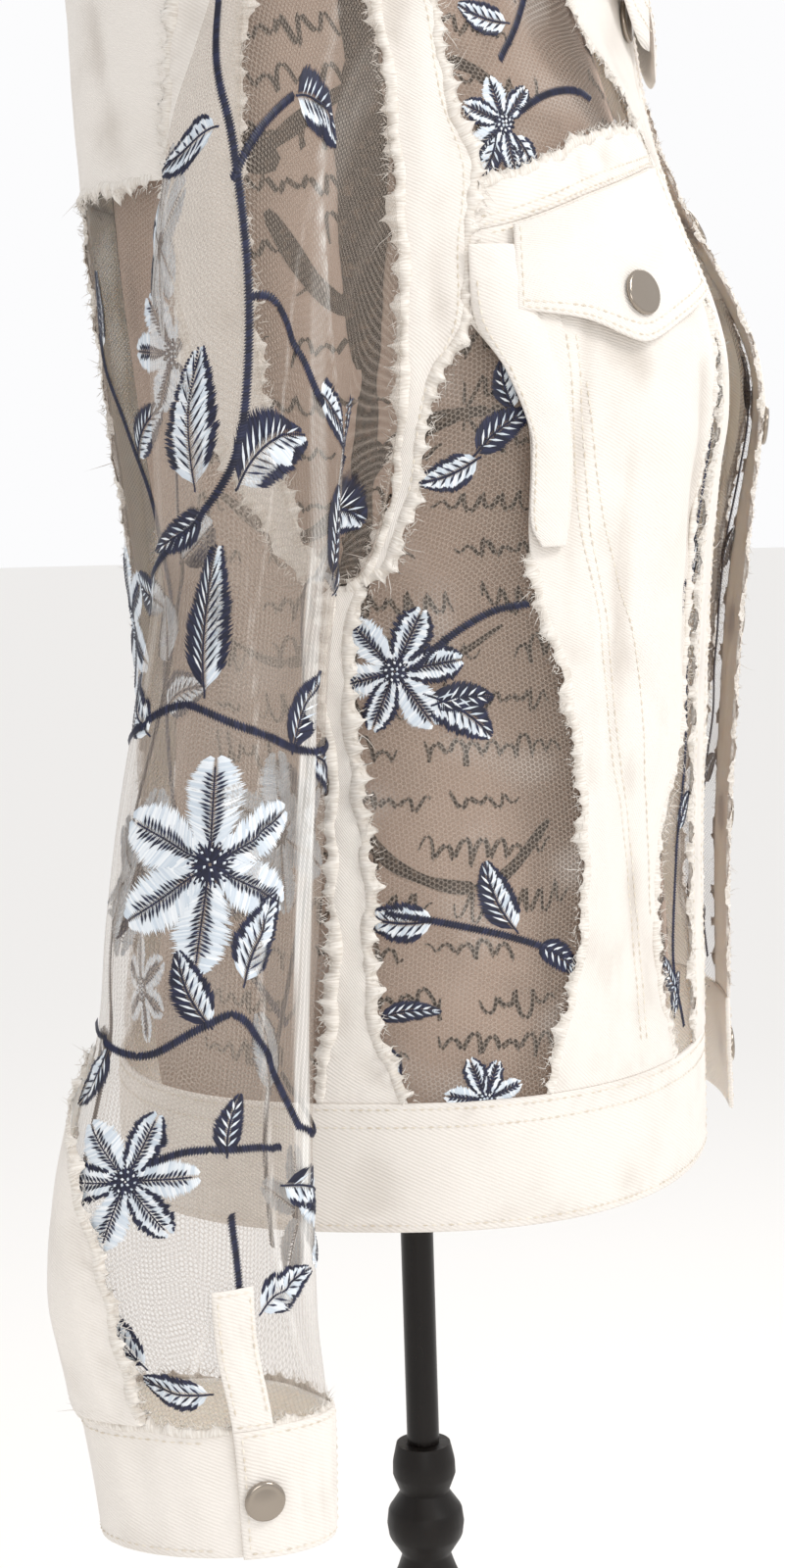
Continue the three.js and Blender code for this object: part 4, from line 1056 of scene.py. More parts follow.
def edge_line(surface: Surface, around: Array, run: Array, height: Array, inside: Array,
              step: float = 0.9) -> EdgeLine:
    """Sample an edge evenly.

    Args:
        surface: The surface that the cloth lies on.
        around: Angles of the edge's places, in order.
        run: Their runs.
        height: Their heights off the surface.
        inside: A point in millimetres inside the piece, for each place.
        step: Spacing in millimetres.

    Returns:
        The sampled edge.
    """
    rough = surface.raised(around, run, height)
    gone = np.concatenate([[0], np.cumsum(np.linalg.norm(np.diff(rough, axis=0), axis=-1))])
    even = np.linspace(0, gone[-1], max(3, int(gone[-1] / step) + 1))
    pick = lambda values: np.interp(even, gone, values)
    at_around, at_run, at_height = pick(around), pick(run), pick(height)
    point = surface.raised(at_around, at_run, at_height)
    off = surface.normals(at_around, at_run)
    along = np.gradient(point, axis=0)
    along /= np.linalg.norm(along, axis=-1, keepdims=True)
    out = np.cross(along, off)
    inward = np.stack([pick(inside[:, axis]) for axis in range(3)], axis=-1) - point
    out *= -np.sign(np.einsum("ij,ij->i", out, inward))[:, None]
    return EdgeLine(point, along, out, off, even)


def patch_edge(cloth: Cloth, which: str, start: float = 0.0, end: float = 1.0, lift: float = 0.0) -> EdgeLine:
    """Take one edge of a panel.

    Args:
        cloth: The panel.
        which: left, right, bottom or top.
        start: Share along the edge where the line starts.
        end: Share where it ends.
        lift: Height above the middle of the panel's wall.

    Returns:
        The edge as a line.
    """
    share = np.linspace(start, end, 240)
    side = {"left": 0.0, "right": 1.0, "bottom": 0.0, "top": 1.0}[which]
    level = np.full_like(share, side)
    across, along = (level, share) if which in ("left", "right") else (share, level)
    inner = np.clip(level, 0.1, 0.9)
    in_across, in_along = (inner, share) if which in ("left", "right") else (share, inner)
    around, run = cloth.patch.places(across, along)
    inside = cloth.surface.points(*cloth.patch.places(in_across, in_along))
    height = cloth.relief.height(around, run, np.zeros_like(around)) + cloth.wall / 2 + lift
    return edge_line(cloth.surface, around, run, height, inside)


@dataclass(frozen=True)
class Fray:
    """A washed raw edge: bunched yarn in small scallops, and loose ends that stick out of it."""

    reach: float = 4.6
    scallop: float = 7.5
    puff: float = 1.7
    inset: float = 2.4
    ends_per_mm: float = 1.7
    longest: float = 4.8
    thick: float = 0.28

    def bunch(self, line: EdgeLine, seed: int) -> tuple[Array, Array, Array, Array]:
        """Return the scalloped band as points, faces, flat places and tone.

        Args:
            line: The edge.
            seed: Number that fixes its unevenness.

        Returns:
            Points, faces, flat places and tone of the band.
        """
        rng = np.random.default_rng(seed)
        knots = np.arange(0, line.run[-1] + 40, 11.0)
        pace = np.interp(line.run, knots, rng.uniform(0.4, 1.7, len(knots)))
        size = np.interp(line.run, knots * 1.3, rng.uniform(0.45, 1.4, len(knots)))
        phase = np.cumsum(np.concatenate([[0], np.diff(line.run) * pace[1:]])) * math.pi / self.scallop
        torn = rng.normal(0, 1, len(line.run))
        torn = 0.5 * torn + 0.5 * np.roll(torn, 1)
        lobe = np.clip(0.5 + 0.42 * np.sin(phase * 2) + 0.22 * np.sin(phase * 0.73 + 2.1) + 0.14 * torn, 0, 1.2)
        sway = np.sin(phase * 0.53 + 1.3)
        share = np.linspace(0, 1, 5)[None, :]
        taper = np.clip(np.minimum(line.run, line.run[-1] - line.run) / 5, 0.15, 1)[:, None]
        reach = (self.reach * size * (0.35 + 0.75 * lobe))[:, None] * taper
        ahead = -self.inset * (1 + 0.3 * sway[:, None]) + share * (self.inset + reach)
        rise = (self.puff * size * (0.3 + 0.6 * lobe))[:, None] * np.sin(math.pi * share ** 0.8) * taper
        rise = rise + share ** 2 * (sway * 1.3 * size)[:, None]
        fuzz = rng.normal(0, 0.2, ahead.shape) * (0.25 + share)
        shift = (1.1 * np.cos(phase * 2) * size)[:, None] * share ** 2 + 0.35 * torn[:, None] * share
        middle = (line.point[:, None] + line.out[:, None] * ahead[..., None]
                  + line.off[:, None] * (rise + fuzz)[..., None] + line.along[:, None] * shift[..., None])
        half = 0.42 * (1.05 - share ** 3) * (0.4 + 0.6 * taper)
        inner = middle - line.off[:, None] * half[..., None]
        outer = middle + line.off[:, None] * half[..., None]
        points, faces = wall_mesh(inner, outer)
        cut = np.stack(np.broadcast_arrays(line.run[:, None], ahead), axis=-1).reshape(-1, 2)
        # Painted shade: the tone is darker at the root, where the bunch meets the cloth, and toward the tips between
        # the scallops.
        tone = np.clip(0.5 * (1 - lobe[:, None]) * share + 0.3 * (1 - share) - 0.1, 0, 0.7)
        tone = np.broadcast_to(tone, ahead.shape).ravel()
        return points, faces, np.concatenate([cut, cut]), np.concatenate([tone, tone])

    def ends(self, line: EdgeLine, seed: int) -> tuple[Array, Array, Array]:
        """Return loose yarn ends as points, faces and tone.

        Args:
            line: The edge.
            seed: Number that fixes them.

        Returns:
            Points, faces and tone of the ends.
        """
        rng = np.random.default_rng(seed + 77)
        count = int(line.run[-1] * self.ends_per_mm)
        place = rng.integers(1, len(line.run) - 1, count)
        long = rng.uniform(0.35, 1.0, count) ** 1.6 * self.longest
        stray = rng.random(count) < 0.02
        long[stray] *= rng.uniform(1.8, 3.2, stray.sum())
        root = (line.point[place] + line.out[place] * rng.uniform(0.2, self.reach * 0.8, count)[:, None]
                + line.off[place] * rng.uniform(-0.2, self.puff, count)[:, None]
                + line.along[place] * rng.uniform(-0.4, 0.4, count)[:, None])
        aim = (line.out[place] * rng.uniform(0.35, 1.1, count)[:, None]
               + line.along[place] * rng.normal(0, 0.6, count)[:, None]
               + line.off[place] * rng.normal(0.25, 0.5, count)[:, None])
        aim /= np.linalg.norm(aim, axis=-1, keepdims=True)
        bend = line.along[place] * rng.normal(0, 0.5, count)[:, None] + line.off[place] * rng.normal(
            0, 0.35, count)[:, None]
        return threads(root, aim, bend, long, self.thick)


def threads(root: Array, aim: Array, bend: Array, long: Array, thick: float) -> tuple[Array, Array, Array]:
    """Make bent, tapered yarn ends with three sides each.

    Args:
        root: Where each end starts.
        aim: The way it leaves, as a unit vector.
        bend: How it turns aside toward its tip.
        long: Its length.
        thick: Its thickness at the root.

    Returns:
        Points, faces and tone.
    """
    count = len(root)
    side = np.cross(aim, np.array([0.31, 0.17, 0.93]))
    side /= np.maximum(np.linalg.norm(side, axis=-1, keepdims=True), 1e-6)
    other = np.cross(aim, side)
    middle = root + aim * (long * 0.5)[:, None] + bend * (long * 0.15)[:, None]
    tip = root + aim * long[:, None] + bend * (long * 0.6)[:, None]
    rings = []
    for centre in (root, middle):
        for turn in (0, 120, 240):
            offset = side * math.cos(turn * DEGREE) + other * math.sin(turn * DEGREE)
            rings.append(centre + offset * thick / 2)
    points = np.stack([*rings, tip], axis=1).reshape(-1, 3)
    first = (np.arange(count) * 7)[:, None]
    faces: list[tuple[int, ...]] = []
    for turn in range(3):
        following = (turn + 1) % 3
        faces.extend(map(tuple, (first + np.array([turn, following, 3 + following, 3 + turn])).tolist()))
        faces.extend(map(tuple, (first + np.array([3 + turn, 3 + following, 6])).tolist()))
    return points, faces, np.zeros(len(points))


def fray_edges(name: str, lines: list[EdgeLine], fray: Fray, finishes: Finishes, seed: int) -> bpy.types.Object:
    """Dress edges with their bunched yarn and loose ends, as one piece.

    Args:
        name: The piece's name.
        lines: The edges.
        fray: The size of the fray.
        finishes: The scene's materials.
        seed: Number that fixes the unevenness.

    Returns:
        The fringe.
    """
    all_points, all_faces, all_cuts, all_tones = [], [], [], []
    first = 0
    for index, line in enumerate(lines):
        points, faces, cut, tone = fray.bunch(line, seed + index * 13)
        all_faces.extend(map(tuple, (faces + first).tolist()))
        first += len(points)
        loose, loose_faces, loose_tone = fray.ends(line, seed + index * 13)
        all_faces.extend(tuple(corner + first for corner in face) for face in loose_faces)
        first += len(loose)
        all_points += [points, loose]
        all_cuts += [cut, np.zeros((len(loose), 2))]
        all_tones += [tone, loose_tone]
    fringe = build_object(name, np.concatenate(all_points), all_faces, finishes.yarn,
                          np.concatenate(all_cuts), np.concatenate(all_tones))
    LOG.info("%s: %d edges, %d faces", name, len(lines), len(all_faces))
    return fringe


def stitch_arrays(start: Array, end: Array, off: Array, width: Array, height: Array) -> tuple[Array, Array]:
    """Make thread stitches, each a low spindle with a ridge and two pointed ends.

    Args:
        start: Where each stitch goes in.
        end: Where it comes out.
        off: The way off the cloth at each.
        width: Width of each.
        height: Height of each.

    Returns:
        Points, five to a stitch, and faces.
    """
    side = np.cross(off, end - start)
    side /= np.maximum(np.linalg.norm(side, axis=-1, keepdims=True), 1e-9)
    half = side * (width / 2)[:, None]
    middle = (start + end) / 2
    points = np.stack([start, middle - half, end, middle + half, middle + off * height[:, None]], axis=1)
    first = (np.arange(len(start)) * 5)[:, None]
    corners = ((0, 1, 4), (1, 2, 4), (2, 3, 4), (3, 0, 4))
    faces = np.concatenate([first + np.array(corner) for corner in corners])
    return points.reshape(-1, 3), faces


def topstitch(name: str, lines: list[EdgeLine], finishes: Finishes, long: float = 2.7, gap: float = 0.6,
              width: float = 0.9, height: float = 0.45) -> bpy.types.Object:
    """Sew rows of straight stitches along lines, as one piece.

    Args:
        name: The piece's name.
        lines: Where the rows run.
        finishes: The scene's materials.
        long: Length of a stitch in millimetres.
        gap: Gap between stitches.
        width: Width of the thread.
        height: How far it stands up.

    Returns:
        The stitching.
    """
    starts, ends, ups = [], [], []
    for line in lines:
        place = np.arange(0.6, line.run[-1] - long, long + gap)
        read = lambda at, values: np.stack([np.interp(at, line.run, values[:, axis]) for axis in range(3)], -1)
        starts.append(read(place, line.point))
        ends.append(read(place + long, line.point))
        ups.append(read(place + long / 2, line.off))
    start, end, off = np.concatenate(starts), np.concatenate(ends), np.concatenate(ups)
    count = len(start)
    points, faces = stitch_arrays(start, end, off, np.full(count, width), np.full(count, height))
    rng = np.random.default_rng(count)
    piece = build_object(name, points, faces, finishes.topstitch, None, np.repeat(rng.uniform(0, 1, count), 5))
    return piece


def path_line(cloth: Cloth, around: Array, run: Array, lift: float = 0.15) -> EdgeLine:
    """Draw a line on a panel through places given as angles and runs, on its outer face."""
    far = np.full_like(around, 30.0)
    height = cloth.relief.height(around, run, far) + cloth.wall + lift
    inside = cloth.surface.points(around + 0.5, run)
    return edge_line(cloth.surface, around, run, height, inside)


def inset_line(cloth: Cloth, which: str, inset: float, start: float = 0.02, end: float = 0.98) -> EdgeLine:
    """Draw a line beside one edge of a panel.

    Args:
        cloth: The panel.
        which: left, right, bottom or top.
        inset: Millimetres in from the edge.
        start: Share along the edge where the line starts.
        end: Share where it ends.

    Returns:
        The line on the panel's outer face.
    """
    width, length, _ = cloth.patch.size(cloth.surface)
    share = np.linspace(start, end, 240)
    whole = width if which in ("left", "right") else length
    level = np.full_like(share, inset / whole if which in ("left", "bottom") else 1 - inset / whole)
    across, along = (level, share) if which in ("left", "right") else (share, level)
    around, run = cloth.patch.places(across, along)
    height = cloth.relief.height(around, run, np.full_like(around, inset)) + cloth.wall + 0.1
    inside = cloth.surface.points(around + 0.5, run)
    return edge_line(cloth.surface, around, run, height, inside)


class Thread(Enum):
    """Colour of an embroidery thread."""

    NAVY = 0
    SILVER = 1


class Leaf(Enum):
    """How a leaf is filled."""

    COMBED = "silver with a navy comb round it"
    HALF = "one half navy"
    DARK = "navy with silver veins"


@dataclass
class StitchBag:
    """Stitches drawn flat, in millimetres, with x to the right and y up as seen from outside."""

    rows: list[Array] = field(default_factory=list)

    def add(self, start: Array, end: Array, width: float, height: float, lift: float, thread: Thread) -> None:
        """Add stitches from start to end, each two columns of x and y."""
        count = len(start)
        numbers = np.broadcast_to(np.array([width, height, lift, thread.value]), (count, 4))
        self.rows.append(np.concatenate([start, end, numbers], axis=1))

    def turned(self, x: float, y: float, turn: float) -> Array:
        """Return every stitch turned about the origin by degrees, then moved."""
        table = np.concatenate(self.rows)
        c, s = math.cos(turn * DEGREE), math.sin(turn * DEGREE)
        out = table.copy()
        for column in (0, 2):
            out[:, column] = table[:, column] * c - table[:, column + 1] * s + x
            out[:, column + 1] = table[:, column] * s + table[:, column + 1] * c + y
        return out


def leaf_stitches(long: float, wide: float, style: Leaf, rng: np.random.Generator, bow: float = 0.08) -> StitchBag:
    """Draw a leaf that points along x, in satin stitch with combed edges.

    Args:
        long: Its length.
        wide: Its width.
        style: How it is filled.
        rng: Source of the small unevenness.
        bow: How far its midrib bows, as a share of its length.

    Returns:
        Its stitches.
    """
    bag = StitchBag()
    bend = lambda t: bow * long * 4 * t * (1 - t)
    half = lambda t: wide / 2 * np.clip(np.sin(math.pi * np.clip(t, 0, 1) ** 0.85), 0, 1) ** 0.75
    for side in (1, -1):
        t = np.linspace(0.04, 0.93, max(6, int(long / 0.84)))
        reach = t + 0.2 * (1 - t)
        edge = half(reach) * rng.uniform(0.9, 1.04, len(t))
        rib = np.stack([t * long, bend(t) + side * 0.25], axis=1)
        rim = np.stack([reach * long, bend(reach) + side * edge], axis=1)
        dark = style is Leaf.DARK or (style is Leaf.HALF and side > 0)
        bag.add(rib, rim, 1.7, 0.42, 0.25, Thread.NAVY if dark else Thread.SILVER)
        if not dark:
            inner = rng.uniform(0.22, 0.5, len(t))[:, None]
            bag.add(rim + (rim - rib) * 0.1, rim + (rib - rim) * inner, 1.2, 0.42, 0.5, Thread.NAVY)
        veins = np.arange(0.14, 0.8, 3.2 / long)
        root = np.stack([veins * long, bend(veins)], axis=1)
        tip_t = veins + 0.16
        tip = np.stack([tip_t * long, bend(tip_t) + side * half(tip_t) * 0.62], axis=1)
        bag.add(root, tip, 0.9, 0.4, 0.62, Thread.SILVER if dark else Thread.NAVY)
    t = np.linspace(-0.02, 0.95, max(6, int(long / 0.8)))
    rib = np.stack([t * long, bend(np.clip(t, 0, 1))], axis=1)
    slant = np.array([0.55, 0.5])
    bag.add(rib - slant, rib + slant, 1.0, 0.5, 0.6, Thread.NAVY)
    return bag


def petal_stitches(long: float, wide: float, combed: bool, rng: np.random.Generator) -> StitchBag:
    """Draw a petal that points along x, silver with a navy herringbone vein or a navy comb.

    Args:
        long: Its length.
        wide: Its width.
        combed: Whether a navy comb edges it.
        rng: Source of the small unevenness.

    Returns:
        Its stitches.
    """
    bag = StitchBag()
    half = lambda t: wide / 2 * np.clip(np.sin(math.pi * np.clip(t, 0, 1) ** 1.45), 0, 1) ** 0.6
    for side in (1, -1):
        t = np.linspace(0.12, 0.95, max(6, int(long / 0.82)))
        reach = t + 0.16 * (1 - t)
        edge = half(reach) * rng.uniform(0.84, 1.06, len(t))
        rib = np.stack([t * long, np.full_like(t, side * 0.2)], axis=1)
        rim = np.stack([reach * long, side * edge], axis=1)
        bag.add(rib, rim, 1.8, 0.42, 0.3, Thread.SILVER)
        if combed:
            inner = rng.uniform(0.3, 0.55, len(t))[:, None]
            bag.add(rim, rim + (rib - rim) * inner, 1.1, 0.42, 0.55, Thread.NAVY)
        veins = np.arange(0.2, 0.8, 1.5 / long)
        root = np.stack([veins * long, np.zeros_like(veins)], axis=1)
        barb = np.stack([np.full_like(veins, 2.1), side * half(veins) * rng.uniform(0.3, 0.5, len(veins))], axis=1)
        bag.add(root, root + barb, 0.95, 0.4, 0.65, Thread.NAVY)
    t = np.linspace(0.1, 0.86, max(5, int(long / 1.3)))
    rib = np.stack([t * long, np.zeros_like(t)], axis=1)
    bag.add(rib - np.array([0.95, 0]), rib + np.array([0.95, 0]), 0.9, 0.45, 0.68, Thread.NAVY)
    return bag


def flower_stitches(reach: float, petals: int, combed: set[int], rng: np.random.Generator,
                    spread: float = 360.0, first: float = 90.0) -> Array:
    """Draw an open flower with a knotted centre.

    Args:
        reach: Length of its petals.
        petals: How many it has.
        combed: Which of them have a navy comb.
        rng: Source of the small unevenness.
        spread: Degrees that the petals cover.
        first: Turn of the first petal.

    Returns:
        Its stitches as rows.
    """
    parts = []
    for index in range(petals):
        long = reach * rng.uniform(0.88, 1.04)
        petal = petal_stitches(long, long * rng.uniform(0.54, 0.64), index in combed, rng)
        turn = first + spread * index / (petals if spread == 360.0 else max(petals - 1, 1))
        parts.append(petal.turned(0, 0, turn + rng.uniform(-6, 6)))
    knots = StitchBag()
    turn = np.linspace(0, math.tau, 30, endpoint=False)
    spoke = np.stack([np.cos(turn), np.sin(turn)], axis=1) * reach
    knots.add(spoke * 0.01, spoke * rng.uniform(0.19, 0.25, 30)[:, None], 1.7, 0.5, 0.5, Thread.NAVY)
    for ring, count, thread in ((0.05, 4, Thread.SILVER), (0.13, 9, Thread.SILVER), (0.2, 13, Thread.NAVY)):
        turn = np.linspace(0, math.tau, count, endpoint=False) + rng.uniform(0, 1)
        centre = np.stack([np.cos(turn), np.sin(turn)], axis=1) * ring * reach
        way = np.stack([np.cos(turn + 0.6), np.sin(turn + 0.6)], axis=1) * 0.75
        knots.add(centre - way, centre + way, 1.1, 0.8, 0.8, thread)
    parts.append(np.concatenate(knots.rows))
    return np.concatenate(parts)


@dataclass
class Ground:
    """Net that takes embroidery, and which way its angle and run go as seen from outside."""

    surface: Surface
    relief: Relief
    across: float
    upward: float
    seed: int
    starts: list[Array] = field(default_factory=list)
    ends: list[Array] = field(default_factory=list)
    offs: list[Array] = field(default_factory=list)
    sizes: list[Array] = field(default_factory=list)

    def lay(self, stitches: Array, around: float, run: float) -> None:
        """Lay flat stitches on the net about a place.

        Args:
            stitches: Rows of start, end, width, height, lift and thread.
            around: Angle of the place.
            run: Run of the place.
        """
        per_degree, per_run = self.surface.scales(np.array([around]), np.array([run]))
        angle = lambda x: around + self.across * x / per_degree[0]
        length = lambda y: run + self.upward * y / per_run[0]
        for x, y, store in ((0, 1, self.starts), (2, 3, self.ends)):
            at_around, at_run = angle(stitches[:, x]), length(stitches[:, y])
            height = self.relief.height(at_around, at_run, np.full(len(stitches), 30.0)) + stitches[:, 6]
            store.append(self.surface.raised(at_around, at_run, height))
        self.offs.append(self.surface.normals(angle(stitches[:, 0]), length(stitches[:, 1])))
        self.sizes.append(stitches[:, [4, 5, 7]])

    def leaf(self, around: float, run: float, turn: float, long: float, wide: float, style: Leaf) -> None:
        """Sew a leaf whose stem end is at the place and whose tip points the turned way."""
        rng = np.random.default_rng(self.seed + int(abs(around) * 7 + run))
        self.lay(leaf_stitches(long, wide, style, rng).turned(0, 0, turn), around, run)

    def flower(self, around: float, run: float, reach: float, petals: int = 6, first: float = 90.0,
               spread: float = 360.0, combed: tuple[int, ...] = ()) -> None:
        """Sew a flower centred on the place."""
        rng = np.random.default_rng(self.seed + int(abs(around) * 5 + run))
        self.lay(flower_stitches(reach, petals, set(combed), rng, spread, first), around, run)

    def vine(self, knots: Iterable[tuple[float, float]], wide: float = 3.7) -> None:
        """Sew a corded vine through places given as angle and run.

        Args:
            knots: The places, in order.
            wide: Width of the cord in millimetres.
        """
        path = np.array(list(knots), dtype=float)
        table = Table("t around run", tuple((float(i), *row) for i, row in enumerate(path)))
        t = np.linspace(0, len(path) - 1, 60 * len(path))
        around, run = table.at("around", t), table.at("run", t)
        height = self.relief.height(around, run, np.full_like(t, 30.0)) + 0.4
        line = edge_line(self.surface, around, run, height, self.surface.points(around + 1, run), 1.05)
        slant = line.out * wide / 2 + line.along * 0.9
        self.starts.append(line.point - slant)
        self.ends.append(line.point + slant)
        self.offs.append(line.off)
        self.sizes.append(np.tile([1.7, 0.9, Thread.NAVY.value], (len(line.point), 1)))

    def sew(self, name: str, finishes: Finishes) -> bpy.types.Object:
        """Make every stitch laid so far into one piece.

        Args:
            name: The piece's name.
            finishes: The scene's materials.

        Returns:
            The embroidery.
        """
        start, end = np.concatenate(self.starts), np.concatenate(self.ends)
        off, size = np.concatenate(self.offs), np.concatenate(self.sizes)
        points, faces = stitch_arrays(start, end, off, size[:, 0], size[:, 1])
        rng = np.random.default_rng(self.seed)
        tone = np.repeat(rng.uniform(0, 1, len(start)) ** 1.4, 5)
        piece = build_object(name, points, faces, finishes.navy, None, tone)
        piece.data.materials.append(finishes.silver)
        per_face = np.tile(size[:, 2].astype(np.int32), 4)
        piece.data.polygons.foreach_set("material_index", per_face)
        piece.data.update()
        LOG.info("%s: %d stitches", name, len(start))
        return piece


def dense(knots: Iterable[tuple[float, float]], per_step: int = 20) -> list[tuple[float, float]]:
    """Draw a smooth line through places given as angle and run, and return many places on it."""
    path = list(knots)
    table = Table("t around run", tuple((float(i), *row) for i, row in enumerate(path)))
    t = np.linspace(0, len(path) - 1, per_step * len(path))
    return list(zip(table.at("around", t).tolist(), table.at("run", t).tolist()))


def armhole_border(toward: float) -> Border:
    """Return the armhole's edge in the body, for its front half at -1 or its back half at 1."""
    centre, lean, front, back, roundness = SleeveSurface.armhole

    def border(run: Array) -> Array:
        run = np.asarray(run, dtype=float)
        middle = (UNDERARM_LEVEL + ARMHOLE_TOP) / 2
        share = np.clip((run - middle) / ((ARMHOLE_TOP - UNDERARM_LEVEL) / 2), -1, 1)
        opened = (1 - np.abs(share) ** roundness) ** (1 / roundness)
        edge = centre + lean * share + toward * (front if toward < 0 else back) * opened
        return np.where(run > ARMHOLE_TOP, SHOULDER_AROUND, edge)

    return border


ARMHOLE_EDGES = (armhole_border(-1.0), armhole_border(1.0))


def arm_border(table: Table) -> Border:
    """Return the outer edge of an armhole strip, which goes on up the shoulder seam."""
    line = edge_of(table)
    return lambda run: np.where(np.asarray(run) > STRIP_TOP, SHOULDER_AROUND, line(run))


def joined(low: Border, high: Border, level: float) -> Border:
    """Return a seam that follows one line up to a level and another above it."""
    return lambda run: np.where(np.asarray(run) > level, high(run), low(run))


@dataclass(frozen=True)
class FlapRelief(Relief):
    """A relief that stands further off toward the bottom, as a pocket flap does."""

    hinge_run: float = 400.0
    swing: float = 0.035

    def height(self, around: Array, run: Array, edge: Array) -> Array:
        """Return millimetres off the surface, as Relief does, with the swing added."""
        return super().height(around, run, edge) + self.swing * np.clip(self.hinge_run - run, 0, 90)


@dataclass(frozen=True)
class RollRelief(Relief):
    """A relief rolled across its width, as where cloth is folded back on itself."""

    centre: float = 64.0
    half_width: float = 4.0
    roll: float = 3.2

    def height(self, around: Array, run: Array, edge: Array) -> Array:
        """Return millimetres off the surface, as Relief does, with the roll added."""
        middle = self.centre + 0.11 * (run - 300) * (run > 300)
        share = np.clip(1 - ((around - middle) / self.half_width) ** 2, 0, 1)
        return super().height(around, run, edge) + self.roll * np.sqrt(share)


FRONT_CREASES = (
    Crease(41, 285, 55, 13, 6, 3.2), Crease(33, 265, 60, 5, 4, -1.6), Crease(50, 240, 70, 5, -3, -1.3),
    Crease(58, 300, 48, 3.2, -4, -1.4), Crease(46, 318, 26, 7, 60, -1.2), Crease(37, 205, 40, 6, 12, 1.1),
    Crease(52, 150, 50, 5, -8, 0.9), Crease(44, 90, 34, 7, 10, -0.8), Crease(48, 120, 50, 3, 0, -0.7),
    Crease(55, 200, 60, 2.2, 3, 0.9), Crease(38, 330, 16, 5, 75, 1.0))
PLACKET_CREASES = (
    Crease(20, 300, 60, 5, 2, 1.0), Crease(21, 180, 50, 4, -3, -0.8), Crease(24, 408, 14, 5, 55, -1.4),
    Crease(30, 440, 26, 6, 30, 1.4), Crease(24, 460, 30, 5, 15, -1.0), Crease(19, 90, 34, 4, 4, 0.8),
    Crease(27, 425, 20, 3.5, 35, -1.1))
CHEST_CREASES = (
    Crease(36, 408, 10, 6, 80, 0.9), Crease(48, 399, 8, 5, 70, -0.8), Crease(60, 386, 8, 6, 60, 0.8),
    Crease(43, 403, 9, 3, 20, 0.9), Crease(55, 394, 9, 3, 10, -0.8))
STRIP_CREASES = (
    Crease(78, 400, 40, 5, 0, 1.2), Crease(77, 350, 30, 4, 5, -0.9), Crease(80, 300, 26, 4, 0, 0.8),
    Crease(81, 455, 26, 5, -6, -0.8))
YOKE_CREASES = (
    Crease(150, 470, 50, 10, 40, 1.3), Crease(210, 470, 50, 10, -40, 1.3), Crease(180, 440, 60, 16, 0, -1.0),
    Crease(125, 430, 40, 8, 20, -1.1), Crease(235, 430, 40, 8, -20, -1.1), Crease(165, 415, 20, 10, 70, 0.9),
    Crease(196, 418, 20, 10, -66, 0.8))
BACK_CREASES = (
    Crease(178, 300, 80, 9, 3, -1.6), Crease(170, 180, 70, 7, -4, 1.3), Crease(190, 160, 60, 8, 5, 1.0),
    Crease(184, 90, 30, 9, 60, -1.0), Crease(172, 240, 40, 7, 40, 0.9))
TUCK_FRONT = Table("level around", (
    (256, 60.6), (264, 59.6), (287, 59.4), (312, 60.4), (333, 60.8), (352, 62.6), (366, 64)))
TUCK_BACK = Table("level around", (
    (256, 64.2), (264, 65.6), (287, 65.6), (298, 65.8), (320, 68.9), (337, 72.4), (366, 73.4)))
SEAM_LINES = (
    ((60.4, 333), (59.0, 297), (57.6, 261), (54.4, 225), (52.4, 180), (50.4, 150), (48.6, 120), (47.0, 60)),
    ((58.9, 333), (57.6, 297), (56.2, 261), (53.0, 225), (51.0, 180), (49.0, 150), (47.2, 120), (45.6, 60)),
    ((57.4, 316), (54.3, 268), (48.6, 227), (46.2, 200), (44.6, 150), (43.6, 110)),
)
DENIM_LIFT = 0.6
DENIM_WALL = 1.3


